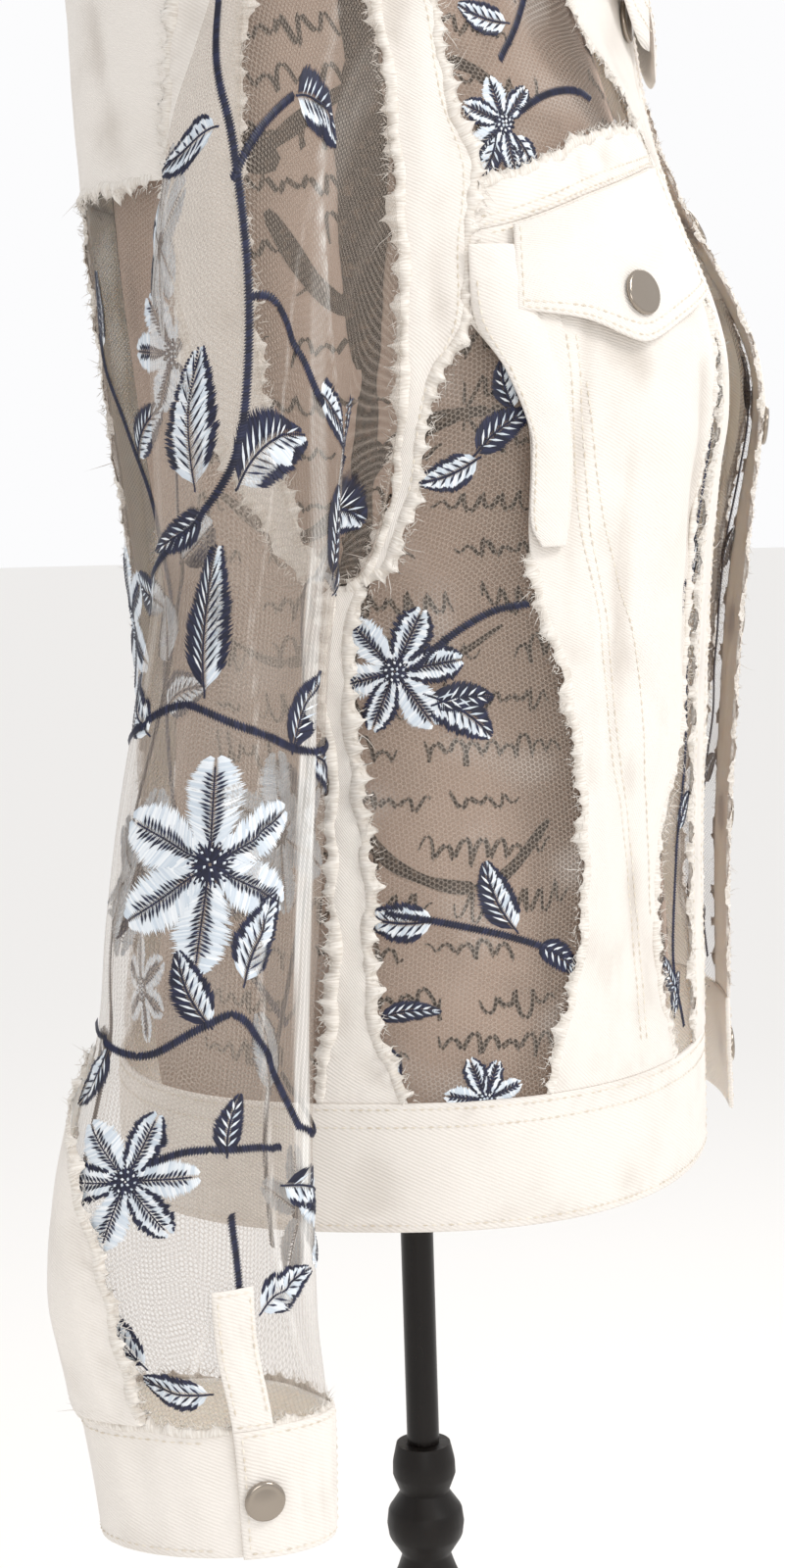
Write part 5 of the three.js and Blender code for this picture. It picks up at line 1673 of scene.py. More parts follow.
@dataclass
class Bodice:
    """One half of the jacket's body: its denim pieces, its net and their edges."""

    side: Side
    finishes: Finishes
    fray: Fray = field(default_factory=Fray)
    small_fray: Fray = field(default_factory=lambda: Fray(reach=3.2, scallop=6.0, puff=1.1, longest=3.4))
    cloths: dict[str, Cloth] = field(default_factory=dict)
    sewn: dict[str, bpy.types.Object] = field(default_factory=dict)

    def __post_init__(self) -> None:
        """Take the half's surface and a seed of its own."""
        self.surface = BodySurface(self.side)
        self.seed = 10 if self.side is Side.RIGHT else 60

    def name(self, piece: str) -> str:
        """Return a piece's CAD name on this half."""
        return f"{self.side.value}_{piece}"

    def panel(self, piece: str, patch: Patch, relief: Relief, wall: float = DENIM_WALL, step: float = 3.8) -> Cloth:
        """Sew one denim piece and keep it."""
        cloth = sew_panel(f"{self.name(piece)}_cloth", self.surface, patch, relief, wall,
                          self.finishes, self.name(piece), step)
        self.cloths[piece] = cloth
        return cloth

    def net(self, piece: str, patch: Patch, relief: Relief) -> Cloth:
        """Hang one net piece and keep it."""
        folds = lambda around, run: 0.1 * np.clip(crumple(around * 2.75, run, self.seed + 3, 46.0), 0, 1)
        cloth = hang_net(f"{self.name(piece)}_veil", self.surface, patch, relief, self.finishes.net,
                         self.name(piece), folds, 4.5)
        self.cloths[piece] = cloth
        return cloth

    def build(self) -> None:
        """Make every piece of this half."""
        armhole = ARMHOLE_EDGES
        placket = edge_of(PLACKET_SEAM)
        strip_front, strip_back = arm_border(ARM_STRIP_FRONT), arm_border(ARM_STRIP_BACK)
        side_front = joined(edge_of(SIDE_STRIP_FRONT), strip_front, UNDERARM_LEVEL)
        side_back = joined(edge_of(SIDE_STRIP_BACK), strip_back, UNDERARM_LEVEL)
        panel_back = joined(edge_of(PANEL_BACK), strip_front, NET_TOP)
        panel_front = joined(edge_of(PANEL_FRONT), lambda run: placket(run) + 0.4, 350.0)
        chest_seam, chest_top = edge_of(CHEST_SEAM), edge_of(CHEST_TOP)
        low, neck = fixed(BAND_TOP), fixed(NECK_LEVEL - 1)
        thin = Relief(0.1, uneven=0.5, size=40, pucker=0.0, seed=self.seed)
        drape = Relief(0.3, (Crease(74, 268, 18, 4, 50, 1.6), Crease(70, 285, 16, 4, 40, 1.4),
                             Crease(80, 150, 60, 5, 8, 0.9)), 0.7, 44, 0.0, self.seed)
        self.net("front_net", Patch(placket, edge_of(PANEL_FRONT), low, fixed(352)).tucked(1.6, 4), thin)
        self.net("side_net", Patch(edge_of(PANEL_BACK), side_front, low, fixed(NET_TOP)).tucked(1.4, 4), drape)
        self.net("yoke_net", Patch(placket, strip_front, chest_top, neck).tucked(1.4, 0), thin)
        self.net("back_net", Patch(side_back, edge_of(BACK_PANEL_EDGE), low, fixed(YOKE_BACK_LEVEL)).tucked(1.4, 4),
                 Relief(0.2, (), 0.9, 50, 0.0, self.seed + 2))
        self.panel("front_panel", Patch(panel_front, panel_back, low, chest_seam),
                   Relief(DENIM_LIFT, FRONT_CREASES, 0.35, 26, 0.25, self.seed + 4), step=3.0)
        self.panel("chest_band", Patch(placket, strip_front, chest_seam, chest_top),
                   Relief(DENIM_LIFT + 0.2, CHEST_CREASES, 0.25, 18, 0.35, self.seed + 5), step=2.8)
        self.panel("placket", Patch(edge_of(OPENING_EDGE), placket, low, neck),
                   Relief(DENIM_LIFT + 0.3, PLACKET_CREASES, 0.3, 28, 0.3, self.seed + 6), 1.7, 3.2)
        self.panel("arm_strip_front", Patch(strip_front, armhole[0], fixed(UNDERARM_LEVEL), fixed(STRIP_TOP)),
                   Relief(DENIM_LIFT + 0.2, STRIP_CREASES, 0.4, 18, 0.4, self.seed + 7), step=3.0)
        self.panel("arm_strip_back", Patch(armhole[1], strip_back, fixed(UNDERARM_LEVEL), fixed(STRIP_TOP)),
                   Relief(DENIM_LIFT + 0.2, (), 0.4, 18, 0.4, self.seed + 8), step=3.4)
        self.panel("side_strip", Patch(edge_of(SIDE_STRIP_FRONT), edge_of(SIDE_STRIP_BACK), low,
                                       fixed(UNDERARM_LEVEL)),
                   Relief(DENIM_LIFT, (), 0.5, 16, 0.5, self.seed + 9), step=2.8)
        flap = Patch(fixed(31), fixed(67.5), edge_of(FLAP_BOTTOM), lambda around: chest_seam(around) - 1)
        self.panel("pocket_flap", flap, FlapRelief(2.5, (
            Crease(42, 362, 26, 7, 40, 0.9), Crease(58, 358, 20, 6, -30, -0.7), Crease(36, 372, 12, 5, 20, 0.8)),
            0.2, 20, 0.2, self.seed + 11), 1.8, 2.0)
        self.tuck()

    def tuck(self) -> None:
        """Fold the panel's back edge on itself below the flap, ending in a small curl."""
        patch = Patch(edge_of(TUCK_FRONT), edge_of(TUCK_BACK), fixed(256), fixed(364))
        relief = RollRelief(DENIM_LIFT + 1.2, (), 0.2, 14, 0.15, self.seed + 12)
        cloth = sew_panel(f"{self.name('front_panel')}_tuck", self.surface, patch, relief, 1.4,
                          self.finishes, self.name("front_panel"), 1.6)
        self.cloths["tuck"] = cloth

    def dress(self) -> None:
        at = self.cloths
        rows: dict[str, list[EdgeLine]] = {
            "front_panel": [patch_edge(at["front_panel"], "left", 0, 0.86),
                            patch_edge(at["front_panel"], "right", 0, 0.63)],
            "chest_band": [patch_edge(at["chest_band"], "top", 0.02, 1.0)],
            "arm_strip_front": [patch_edge(at["arm_strip_front"], "right"),
                                patch_edge(at["arm_strip_front"], "left", 0, 0.98)],
            "arm_strip_back": [patch_edge(at["arm_strip_back"], "left"),
                               patch_edge(at["arm_strip_back"], "right", 0, 0.98)],
            "side_strip": [patch_edge(at["side_strip"], "left"), patch_edge(at["side_strip"], "right")],
            "placket": [patch_edge(at["placket"], "right", 0.0, 0.97),
                        patch_edge(at["placket"], "left", 0.01, 0.8)],
        }
        sizes = {"chest_band": self.small_fray, "placket": self.small_fray,
                 "side_strip": Fray(reach=5.2, scallop=8.5, puff=2.6, longest=4.6),
                 "arm_strip_front": Fray(reach=4.8, scallop=8.0, puff=2.3)}
        for index, (piece, lines) in enumerate(rows.items()):
            fray_edges(f"{self.name(piece)}_fray", lines, sizes.get(piece, self.fray),
                                        self.finishes, self.seed * 9 + index)
        seams = self.stitching()
        for piece, cloth in at.items():
            declare_cloth(cloth)

    def stitching(self) -> dict[str, bpy.types.Object]:
        """Sew the rows of topstitching and return them by the piece that they are on."""
        at = self.cloths
        panel = at["front_panel"]
        lines = {
            "front_panel": [path_line(panel, *np.array(knots, dtype=float).T) for knots in
                            (dense(seam) for seam in SEAM_LINES)] + [inset_line(panel, "top", 2.2, 0.05, 0.95)],
            "chest_band": [inset_line(at["chest_band"], "bottom", 1.8), inset_line(at["chest_band"], "bottom", 5.4)],
            "placket": [inset_line(at["placket"], "left", 2.4), inset_line(at["placket"], "right", 6.5, 0.02, 0.7),
                        inset_line(at["placket"], "left", 28.0, 0.02, 0.7)],
            "arm_strip_front": [inset_line(at["arm_strip_front"], "left", 4.6, 0.1, 0.9)],
            "pocket_flap": [inset_line(at["pocket_flap"], "bottom", 2.3), inset_line(at["pocket_flap"], "bottom", 6.4),
                            inset_line(at["pocket_flap"], "left", 2.3), inset_line(at["pocket_flap"], "right", 2.3)],
            "tuck": [inset_line(at["tuck"], "right", 2.4, 0.05, 0.9)],
        }
        return {piece: topstitch(f"{self.name(piece)}_topstitch", rows, self.finishes)
                for piece, rows in lines.items()}

    def embroider(self) -> None:
        """Sew the leaves, flowers and vines on the body's net."""
        side = Ground(self.surface, self.cloths["side_net"].relief, -1.0, 1.0, self.seed)
        side.leaf(72.5, 290, 35, 27.6, 13.8, Leaf.DARK)
        side.leaf(72.0, 289, 200, 24.6, 12.3, Leaf.COMBED)
        side.leaf(67.4, 306, 105, 18.8, 10.2, Leaf.HALF)
        side.vine([(81, 212), (78, 220), (74.5, 227), (70, 233), (65.5, 235)])
        side.flower(83.5, 212, 25, 6, 70, 300, (0, 3, 5))
        side.leaf(79.5, 203, -35, 30.4, 17.4, Leaf.HALF)
        side.leaf(78.5, 199, 5, 23.2, 13, Leaf.DARK)
        side.vine([(85.6, 122), (80, 119), (75.5, 116), (70, 112), (65, 107), (60.4, 101)])
        side.leaf(79.0, 119, 175, 27.6, 15.2, Leaf.COMBED)
        side.leaf(68.0, 113, 112, 30.4, 14.5, Leaf.HALF)
        side.leaf(65.0, 107, -38, 21.8, 11.6, Leaf.DARK)
        side.leaf(87.2, 82, 5, 24.6, 8.7, Leaf.DARK)
        side.leaf(88.2, 72, -60, 18.8, 10.2, Leaf.COMBED)
        side.flower(73.0, 50, 17, 4, 15, 150, (1, 2))
        self.sewn["side_net"] = side.sew(f"{self.name('side_net')}_embroidery", self.finishes)
        yoke = Ground(self.surface, self.cloths["yoke_net"].relief, -1.0, 1.0, self.seed + 1)
        yoke.flower(67.4, 408, 19, 5, 50, 230, (0, 2, 4))
        yoke.leaf(68.6, 404, 245, 18.8, 10, Leaf.HALF)
        yoke.leaf(66.0, 404, 300, 16.2, 8.8, Leaf.COMBED)
        yoke.vine([(65, 413), (61, 420), (57, 424), (53, 425.5), (50, 424)])
        yoke.vine([(72, 500), (66, 490), (62, 470), (64, 450), (67.5, 432)])
        yoke.leaf(63.5, 478, 20, 27.5, 13.8, Leaf.HALF)
        yoke.leaf(66.0, 446, 170, 22.5, 11.2, Leaf.COMBED)
        yoke.flower(74.0, 520, 17, 6, 80)
        self.sewn["yoke_net"] = yoke.sew(f"{self.name('yoke_net')}_embroidery", self.finishes)
        front = Ground(self.surface, self.cloths["front_net"].relief, -1.0, 1.0, self.seed + 2)
        front.vine([(30.5, 60), (35, 90), (33, 130), (30, 165), (29, 200), (29.6, 235), (28.6, 270), (29, 330)], 2.1)
        front.leaf(29.4, 236, 60, 22.5, 12, Leaf.HALF)
        front.leaf(29.6, 222, 110, 19.5, 10.5, Leaf.COMBED)
        front.leaf(33.5, 76, 130, 21, 10.5, Leaf.DARK)
        front.leaf(35.5, 66, 60, 19.5, 10.5, Leaf.HALF)
        front.leaf(32.0, 140, 40, 21, 10.5, Leaf.COMBED)
        front.leaf(28.6, 305, 80, 24, 12, Leaf.DARK)
        self.sewn["front_net"] = front.sew(f"{self.name('front_net')}_embroidery", self.finishes)
        back = Ground(self.surface, self.cloths["back_net"].relief, -1.0, 1.0, self.seed + 4)
        back.vine([(100, 80), (108, 110), (118, 150), (122, 200), (118, 250), (126, 300), (138, 340)])
        back.vine([(160, 90), (150, 120), (138, 140), (122, 150)])
        for around, run, turn, style in ((112, 120, 30, Leaf.HALF), (116, 140, 150, Leaf.COMBED),
                                         (122, 196, 20, Leaf.COMBED), (119, 238, 160, Leaf.DARK),
                                         (124, 292, 40, Leaf.HALF), (136, 334, 80, Leaf.COMBED),
                                         (148, 122, 250, Leaf.DARK), (156, 100, 200, Leaf.HALF)):
            back.leaf(around, run, turn, 32, 17, style)
        back.flower(140, 228, 34)
        back.flower(112, 330, 26, 6, 60)
        back.flower(130, 84, 24, 6, 100)
        self.sewn["back_net"] = back.sew(f"{self.name('back_net')}_embroidery", self.finishes)


@dataclass
class BackAndBand:
    """The denim of the back and the waistband, which run across both halves."""

    finishes: Finishes
    band_wall: float = 2.3
    seed: int = 130

    def __post_init__(self) -> None:
        """Take the body's surface."""
        self.surface = BodySurface()

    def panel(self, node: str, patch: Patch, relief: Relief, wall: float, step: float) -> Cloth:
        """Sew one denim piece."""
        return sew_panel(f"{node}_cloth", self.surface, patch, relief, wall, self.finishes, node, step)

    def build(self) -> None:
        """Make the yoke, the back panel and the waistband."""
        mirrored = lambda line: (lambda run: 360 - line(run))
        arm, seam, opening = arm_border(ARM_STRIP_BACK), edge_of(BACK_PANEL_EDGE), edge_of(OPENING_EDGE)
        self.yoke = self.panel("back_yoke", Patch(
            arm, mirrored(arm), fixed(YOKE_BACK_LEVEL), fixed(NECK_LEVEL - 1)),
            Relief(DENIM_LIFT, YOKE_CREASES, 0.35, 40, 0.25, self.seed), DENIM_WALL, 4.6)
        self.back = self.panel("back_panel", Patch(
            seam, mirrored(seam), fixed(BAND_TOP), fixed(YOKE_BACK_LEVEL)),
            Relief(DENIM_LIFT, BACK_CREASES, 0.35, 36, 0.25, self.seed + 1), DENIM_WALL, 4.6)
        self.band = self.panel("waistband", Patch(opening, mirrored(opening), fixed(0), fixed(BAND_TOP)),
                               Relief(0.1, (), 0.3, 30, 0.35, self.seed + 2), self.band_wall, 4.0)

    def dress(self) -> None:
        fringe = Fray(reach=4.4, scallop=8.0)
        yoke_fray = fray_edges("back_yoke_fray", [patch_edge(self.yoke, "bottom", 0.02, 0.98)], fringe,
                               self.finishes, self.seed)
        back_fray = fray_edges("back_panel_fray", [patch_edge(self.back, "left"), patch_edge(self.back, "right")],
                               fringe, self.finishes, self.seed + 3)
        rows = [inset_line(self.band, "top", 2.2, 0.004, 0.996), inset_line(self.band, "top", 9.0, 0.004, 0.996),
                inset_line(self.band, "bottom", 3.0, 0.004, 0.996),
                inset_line(self.band, "left", 4.0, 0.06, 0.94), inset_line(self.band, "right", 4.0, 0.06, 0.94)]
        band_seam = topstitch("waistband_topstitch", rows, self.finishes)
        declare_cloth(self.yoke)
        declare_cloth(self.back)
        declare_cloth(self.band)


SLEEVE_FOLDS = (
    Crease(76, 250, 150, 3.0, 2, 2.6, 0.75), Crease(83, 215, 120, 2.2, -2, -1.6, 0.75),
    Crease(48, 330, 80, 2.6, 8, 1.8, 0.75), Crease(40, 120, 60, 3.4, -14, -1.6, 0.75),
    Crease(-30, 90, 60, 3.6, 18, 1.6, 0.75), Crease(-52, 260, 110, 2.8, -3, -2.0, 0.75),
    Crease(10, 420, 26, 3.0, -24, 1.4, 0.75), Crease(62, 410, 36, 2.6, 12, 1.8, 0.75),
    Crease(30, 210, 70, 3.6, 10, -1.3, 0.75), Crease(-80, 180, 120, 4.0, 2, 2.0, 0.75),
    Crease(120, 260, 120, 4.0, -2, 2.0, 0.75), Crease(-130, 320, 100, 3.6, 5, 1.8, 0.75),
    Crease(150, 120, 80, 4.0, -8, -1.8, 0.75), Crease(-20, 40, 26, 5.0, 60, 1.6, 0.75),
    Crease(20, 22, 18, 4.0, 80, -1.4, 0.75), Crease(60, 60, 40, 3.0, 30, 1.6, 0.75))
SLEEVE_VEILS = (
    Crease(75, 262, 170, 4.6, 2, 0.34, 0.75), Crease(69, 250, 150, 0.8, 2, 0.3, 0.75),
    Crease(82, 240, 150, 0.8, -1, 0.28, 0.75), Crease(-58, 250, 140, 3.2, -2, 0.2, 0.75),
    Crease(47, 330, 80, 1.2, 8, 0.24, 0.75), Crease(-32, 92, 60, 1.2, 18, 0.2, 0.75),
    Crease(38, 118, 60, 1.0, -14, 0.18, 0.75), Crease(61, 405, 40, 1.4, 12, 0.22, 0.75),
    Crease(12, 424, 26, 1.0, -24, 0.2, 0.75), Crease(62, 62, 40, 1.2, 30, 0.22, 0.75),
    Crease(118, 262, 120, 2.0, -2, 0.24, 0.75), Crease(-128, 318, 100, 2.0, 5, 0.24, 0.75),
    Crease(30, 208, 70, 0.9, 10, 0.16, 0.75))


@dataclass
class Sleeve:
    """One sleeve: its embroidered net, its denim strip and tab, and its cuff."""

    side: Side
    finishes: Finishes

    def __post_init__(self) -> None:
        """Take the sleeve's surface and a seed of its own."""
        self.surface = SleeveSurface(self.side)
        self.seed = 210 if self.side is Side.RIGHT else 260
        self.word = self.side.value

    def panel(self, piece: str, patch: Patch, relief: Relief, wall: float, step: float = 1.8) -> Cloth:
        """Sew one denim piece on the sleeve."""
        node = f"{self.word}_{piece}"
        return sew_panel(f"{node}_cloth", self.surface, patch, relief, wall, self.finishes, node, step)

    def build(self) -> None:
        """Make every piece of the sleeve."""
        veils = lambda around, run: np.clip(sum(veil.lift(around, run) for veil in SLEEVE_VEILS), 0, 0.5)
        around_whole = Patch(fixed(-180), fixed(180), fixed(0), fixed(SLEEVE_END + 1))
        self.net = hang_net(f"{self.word}_sleeve_veil", self.surface, around_whole,
                            Relief(-0.4, SLEEVE_FOLDS, 0.8, 120, 0.0, self.seed), self.finishes.net,
                            f"{self.word}_sleeve_net", veils, 4.2, True)
        self.strip = self.panel("sleeve_strip", Patch(
            lambda run: edge_of(SLEEVE_STRIP_INNER)(run) - 360, lambda run: edge_of(SLEEVE_STRIP_OUTER)(run) - 360,
            fixed(322), fixed(SLEEVE_END - 1)), Relief(1.6, (), 0.6, 40, 0.3, self.seed + 1), 1.3)
        self.tab = self.panel("sleeve_tab", Patch(fixed(20), fixed(40), fixed(400), fixed(SLEEVE_END)),
                              Relief(1.4, (), 0.2, 20, 0.3, self.seed + 2), 1.2, 1.4)
        self.cuff = sew_tube(f"{self.word}_cuff_cloth", self.surface,
                             Patch(fixed(-180), fixed(180), fixed(SLEEVE_END), fixed(CUFF_END)),
                             Relief(0.2, (), 0.35, 60, 0.3, self.seed + 3), 2.0, self.finishes,
                             f"{self.word}_cuff", 2.0)
        self.cuff_tab = self.panel("cuff_tab", Patch(fixed(20), fixed(100), fixed(SLEEVE_END), fixed(CUFF_END)),
                                   Relief(0.7, (), 0.2, 30, 0.25, self.seed + 4), 1.5)

    def dress(self) -> None:
        fringe = Fray(reach=4.2, scallop=7.5, puff=1.9)
        small = Fray(reach=3.2, scallop=6.5, puff=1.4, inset=2.0)
        strip_fray = fray_edges(f"{self.word}_sleeve_strip_fray", [
            patch_edge(self.strip, "right"), patch_edge(self.strip, "left")], fringe, self.finishes, self.seed)
        cuff_fray = fray_edges(f"{self.word}_cuff_fray", [patch_edge(self.cuff, "bottom")], small,
                               self.finishes, self.seed + 5)
        cuff_rows = [inset_line(self.cuff, "top", 3.0, 0.03, 0.52), inset_line(self.cuff, "bottom", 4.5, 0.03, 0.52)]
        cuff_seam = topstitch(f"{self.word}_cuff_topstitch", cuff_rows, self.finishes)
        tab_rows = [inset_line(self.cuff_tab, which, 2.2, 0.04, 0.96) for which in ("top", "bottom", "left", "right")]
        tab_seam = topstitch(f"{self.word}_cuff_tab_topstitch", tab_rows, self.finishes)
        upper_rows = [inset_line(self.tab, which, 1.8, 0.06, 0.94) for which in ("top", "bottom", "left", "right")]
        upper_seam = topstitch(f"{self.word}_sleeve_tab_topstitch", upper_rows, self.finishes)
        embroidery = self.embroider()
        declare_cloth(self.net)
        declare_cloth(self.strip)
        declare_cloth(self.tab)
        declare_cloth(self.cuff)
        declare_cloth(self.cuff_tab)

    def embroider(self) -> bpy.types.Object:
        """Sew the vines, flowers and leaves of the sleeve, and return them as one piece."""
        net = Ground(self.surface, self.net.relief, 1.0, -1.0, self.seed)
        for knots in (
                ((-22, 42), (-12, 51), (-5, 60), (9, 74), (18, 94), (12, 119), (-11, 133), (-38, 140), (-66, 148)),
                ((-72, 210), (-50, 203), (-18, 195), (20, 203), (60, 213), (88, 216)),
                ((-72, 310), (-50, 314), (-21, 317), (10, 306), (28, 303), (50, 322), (74, 347)),
                ((30, 374), (34, 398), (32, 420), (25, 434)),
                ((9, 78), (25, 66), (38, 57)),
                ((18, 94), (34, 91), (52, 93), (68, 97)),
                ((-10, 355), (8, 350), (30, 350), (60, 353)),
                ((120, 60), (132, 110), (140, 160), (130, 210), (120, 250), (132, 300), (148, 350), (140, 400)),
                ((-100, 80), (-118, 130), (-122, 190), (-108, 240), (-104, 290), (-118, 340), (-112, 400)),
                ((74, 347), (92, 352), (116, 344), (134, 336)),
                ((88, 216), (104, 214), (124, 222))):
            net.vine(knots)
        for around, run, turn, long, wide, style in (
                (40, 56, 38, 36, 19, Leaf.HALF), (66, 96, 8, 28, 16, Leaf.COMBED),
                (-18, 127, 86, 40, 21, Leaf.COMBED), (10, 129, 48, 41, 20, Leaf.HALF),
                (-12, 133, 200, 28, 15, Leaf.DARK), (-4, 191, 88, 48, 20, Leaf.HALF),
                (30, 292, 64, 34, 18, Leaf.COMBED), (14, 306, 118, 31, 16, Leaf.HALF),
                (62, 367, -24, 31, 16, Leaf.HALF), (14, 438, 170, 26, 13, Leaf.COMBED),
                (-14, 430, 120, 27, 14, Leaf.HALF), (46, 412, 30, 26, 14, Leaf.COMBED),
                (-40, 206, 140, 31, 16, Leaf.COMBED), (58, 214, 62, 31, 16, Leaf.DARK),
                (78, 216, -40, 26, 14, Leaf.HALF), (-46, 315, -120, 28, 14, Leaf.HALF),
                (-2, 70, 158, 26, 14, Leaf.COMBED), (-24, 40, 74, 27, 14, Leaf.DARK),
                (84, 150, 84, 30, 15, Leaf.DARK), (88, 158, 30, 26, 14, Leaf.HALF),
                (26, 352, 80, 23, 12, Leaf.DARK), (128, 100, 60, 34, 18, Leaf.HALF),
                (138, 150, 130, 34, 18, Leaf.COMBED), (124, 246, 40, 34, 18, Leaf.HALF),
                (146, 344, 70, 31, 16, Leaf.COMBED), (-116, 128, 120, 34, 18, Leaf.HALF),
                (-120, 186, 60, 34, 18, Leaf.COMBED), (-104, 286, 110, 34, 18, Leaf.HALF),
                (-116, 336, 50, 31, 16, Leaf.DARK), (-66, 148, 210, 26, 14, Leaf.COMBED)):
            net.leaf(around, run, turn, long, wide, style)
        net.flower(8, 250, 40, 6, 92)
        net.flower(-22, 362, 29, 6, 70, 360, (0, 2, 4))
        net.flower(150, 250, 34, 6, 80)
        net.flower(-120, 262, 34, 6, 100)
        net.flower(112, 384, 26, 5, 80)
        net.flower(-70, 60, 28, 6, 90, 360, (1, 3, 5))
        return net.sew(f"{self.word}_sleeve_embroidery", self.finishes)


def sew_tube(name: str, surface: Surface, patch: Patch, relief: Relief, wall: float,
             finishes: Finishes, node: str, step: float) -> Cloth:
    """Make a closed cuff of denim, its wall inward of the surface.

    Args:
        name: The piece's name.
        surface: The sleeve.
        patch: Its ends.
        relief: How it stands off the surface.
        wall: Thickness in millimetres.
        finishes: The scene's materials.
        node: The CAD node that it stands for.
        step: Spacing of its points.

    Returns:
        The cuff.
    """
    width, length, _ = patch.size(surface)
    count = math.ceil(width / step)
    across, along = np.meshgrid(np.arange(count) / count, even_shares(length, step, 1.0))
    around, run = patch.places(across, along)
    edge = np.minimum(along, 1 - along) * length
    rounded = np.sqrt(np.clip(1 - (1 - np.clip(edge, 0, 1)) ** 2, 0, 1))
    height = relief.height(around, run, edge)
    middle = surface.raised(around, run, height - wall / 2)
    half = np.expand_dims(wall / 2 * (0.2 + 0.8 * rounded), -1)
    normal = surface.normals(around, run)
    points, faces = wall_mesh(middle - normal * half, middle + normal * half, True)
    cut = np.stack([across * width, along * length], axis=-1).reshape(-1, 2)
    tone = 0.1 * np.exp(-edge / 2.0).ravel()
    piece = build_object(name, points, faces, finishes.twill, np.concatenate([cut, cut]),
                         np.concatenate([tone, tone]))
    turn_reverse(piece, (across.shape[0] - 1) * count, finishes)
    close_seam_of_cut(piece, count, np.full(len(across), width))
    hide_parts(node)
    LOG.info("%s: %.0f x %.0f mm", name, width, length)
    return Cloth(piece, surface, patch, relief, 0.0)


@dataclass
class Collar:
    """The collar: a stand that turns over into a pointed leaf."""

    finishes: Finishes
    wall: float = 2.2
    first: float = 22.0
    stand: Table = Table("step out up", ((0, 1.5, 3), (1, 3, 15), (2, 6, 27), (3, 11, 33), (4, 16.5, 30)))
    leaf: Table = Table("around drop", ((22, 46), (34, 62), (50, 56), (90, 54), (180, 56)))
    lift: Table = Table("share lift", ((0.25, 12.5), (0.55, 8), (1, 5.4)))

    def section(self, around: float) -> Array:
        """Return the collar's section at an angle, from the neck seam to the leaf's edge."""
        body = BodySurface(Side.LEFT if around > 180 else Side.RIGHT)
        near = np.array([360 - around if around > 180 else around])
        neck = body.points(near, np.array([NECK_LEVEL]))[0]
        out = np.array([neck[0], neck[1], 0.0]) / math.hypot(neck[0], neck[1])
        rows = [neck + out * row[1] + np.array([0, 0, row[2]]) for row in self.stand.rows]
        run = np.arange(NECK_LEVEL, YOKE_BACK_LEVEL, -2.0)
        path = body.points(np.full_like(run, near[0]), run)
        gone = np.concatenate([[0], np.cumsum(np.linalg.norm(np.diff(path, axis=0), axis=1))])
        drop = float(self.leaf.at("drop", near)[0])
        for share, lift in self.lift.rows:
            level = np.array([np.interp(6 + share * drop, gone, run)])
            rows.append(body.raised(near, level, np.array([2.0 + lift]))[0])
        return np.array(rows)

    def build(self) -> None:
        """Make the collar from close sections, smooth along and across."""
        arounds = np.linspace(self.first, 360 - self.first, 150)
        rough = np.array([self.section(around) for around in arounds])
        steps = np.arange(rough.shape[1], dtype=float)
        fine = np.linspace(0, steps[-1], 44)
        grid = np.empty((len(arounds), len(fine), 3))
        for row, section in enumerate(rough):
            table = Table("step x y z", tuple((step, *point) for step, point in zip(steps, section.tolist())))
            for axis, name in enumerate("xyz"):
                grid[row, :, axis] = table.at(name, fine)
        across, along = np.gradient(grid, axis=0), np.gradient(grid, axis=1)
        normal = np.cross(across, along)
        normal /= np.linalg.norm(normal, axis=-1, keepdims=True)
        gone = np.cumsum(np.linalg.norm(np.diff(grid, axis=1, prepend=grid[:, :1]), axis=-1), axis=1)
        run = np.cumsum(np.linalg.norm(np.diff(grid, axis=0, prepend=grid[:1]), axis=-1), axis=0)
        edge = np.minimum(np.minimum(gone, gone[:, -1:] - gone), np.minimum(run, run[-1:] - run))
        uneven = 0.5 * crumple(run, gone, 301, 34.0) * np.clip(edge / 10, 0, 1)
        rounded = np.sqrt(np.clip(1 - (1 - np.clip(edge / 1.1, 0, 1)) ** 2, 0, 1))
        half = self.wall / 2 * (0.2 + 0.8 * rounded)
        middle = grid + normal * np.expand_dims(self.wall / 2 + uneven, -1)
        points, faces = wall_mesh(middle - normal * half[..., None], middle + normal * half[..., None])
        cut = np.stack([run, gone], axis=-1).reshape(-1, 2)
        # Painted shade: the tone darkens the collar in the dips of its unevenness and lightens it on the rises. It is
        # also darker towards the edges.
        tone = (0.1 * np.exp(-edge / 2.0) - 0.1 * uneven).ravel()
        self.piece = build_object("collar_cloth", points, faces, self.finishes.twill,
                                  np.concatenate([cut, cut]), np.concatenate([tone, tone]))
        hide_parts("collar")
        self.outer = middle + normal * (self.wall / 2 + 0.1)
        self.normal = normal
        self.size = (float(run[:, -1].max()), float(gone[:, -1].max()))
        sides = np.linalg.norm(np.cross(grid[:-1, 1:] - grid[:-1, :-1], grid[1:, :-1] - grid[:-1, :-1]), axis=-1)
        self.area = float(sides.sum())

    def dress(self) -> None:
        lines = [self.row(41), self.row(39), self.column(1, 20), self.column(-2, 20)]
        seam = topstitch("collar_topstitch", lines, self.finishes)

    def row(self, column: int) -> EdgeLine:
        """Return a line along the collar at one column of its grid."""
        point, off = self.outer[:, column], self.normal[:, column]
        return self.line(point, off)

    def column(self, row: int, start: int) -> EdgeLine:
        """Return a line down the leaf's end at one row of its grid."""
        return self.line(self.outer[row, start:-3], self.normal[row, start:-3])

    def line(self, point: Array, off: Array) -> EdgeLine:
        """Make a line from points and the ways off the cloth."""
        along = np.gradient(point, axis=0)
        along /= np.linalg.norm(along, axis=-1, keepdims=True)
        gone = np.concatenate([[0], np.cumsum(np.linalg.norm(np.diff(point, axis=0), axis=-1))])
        return EdgeLine(point, along, np.cross(along, off), off, gone)


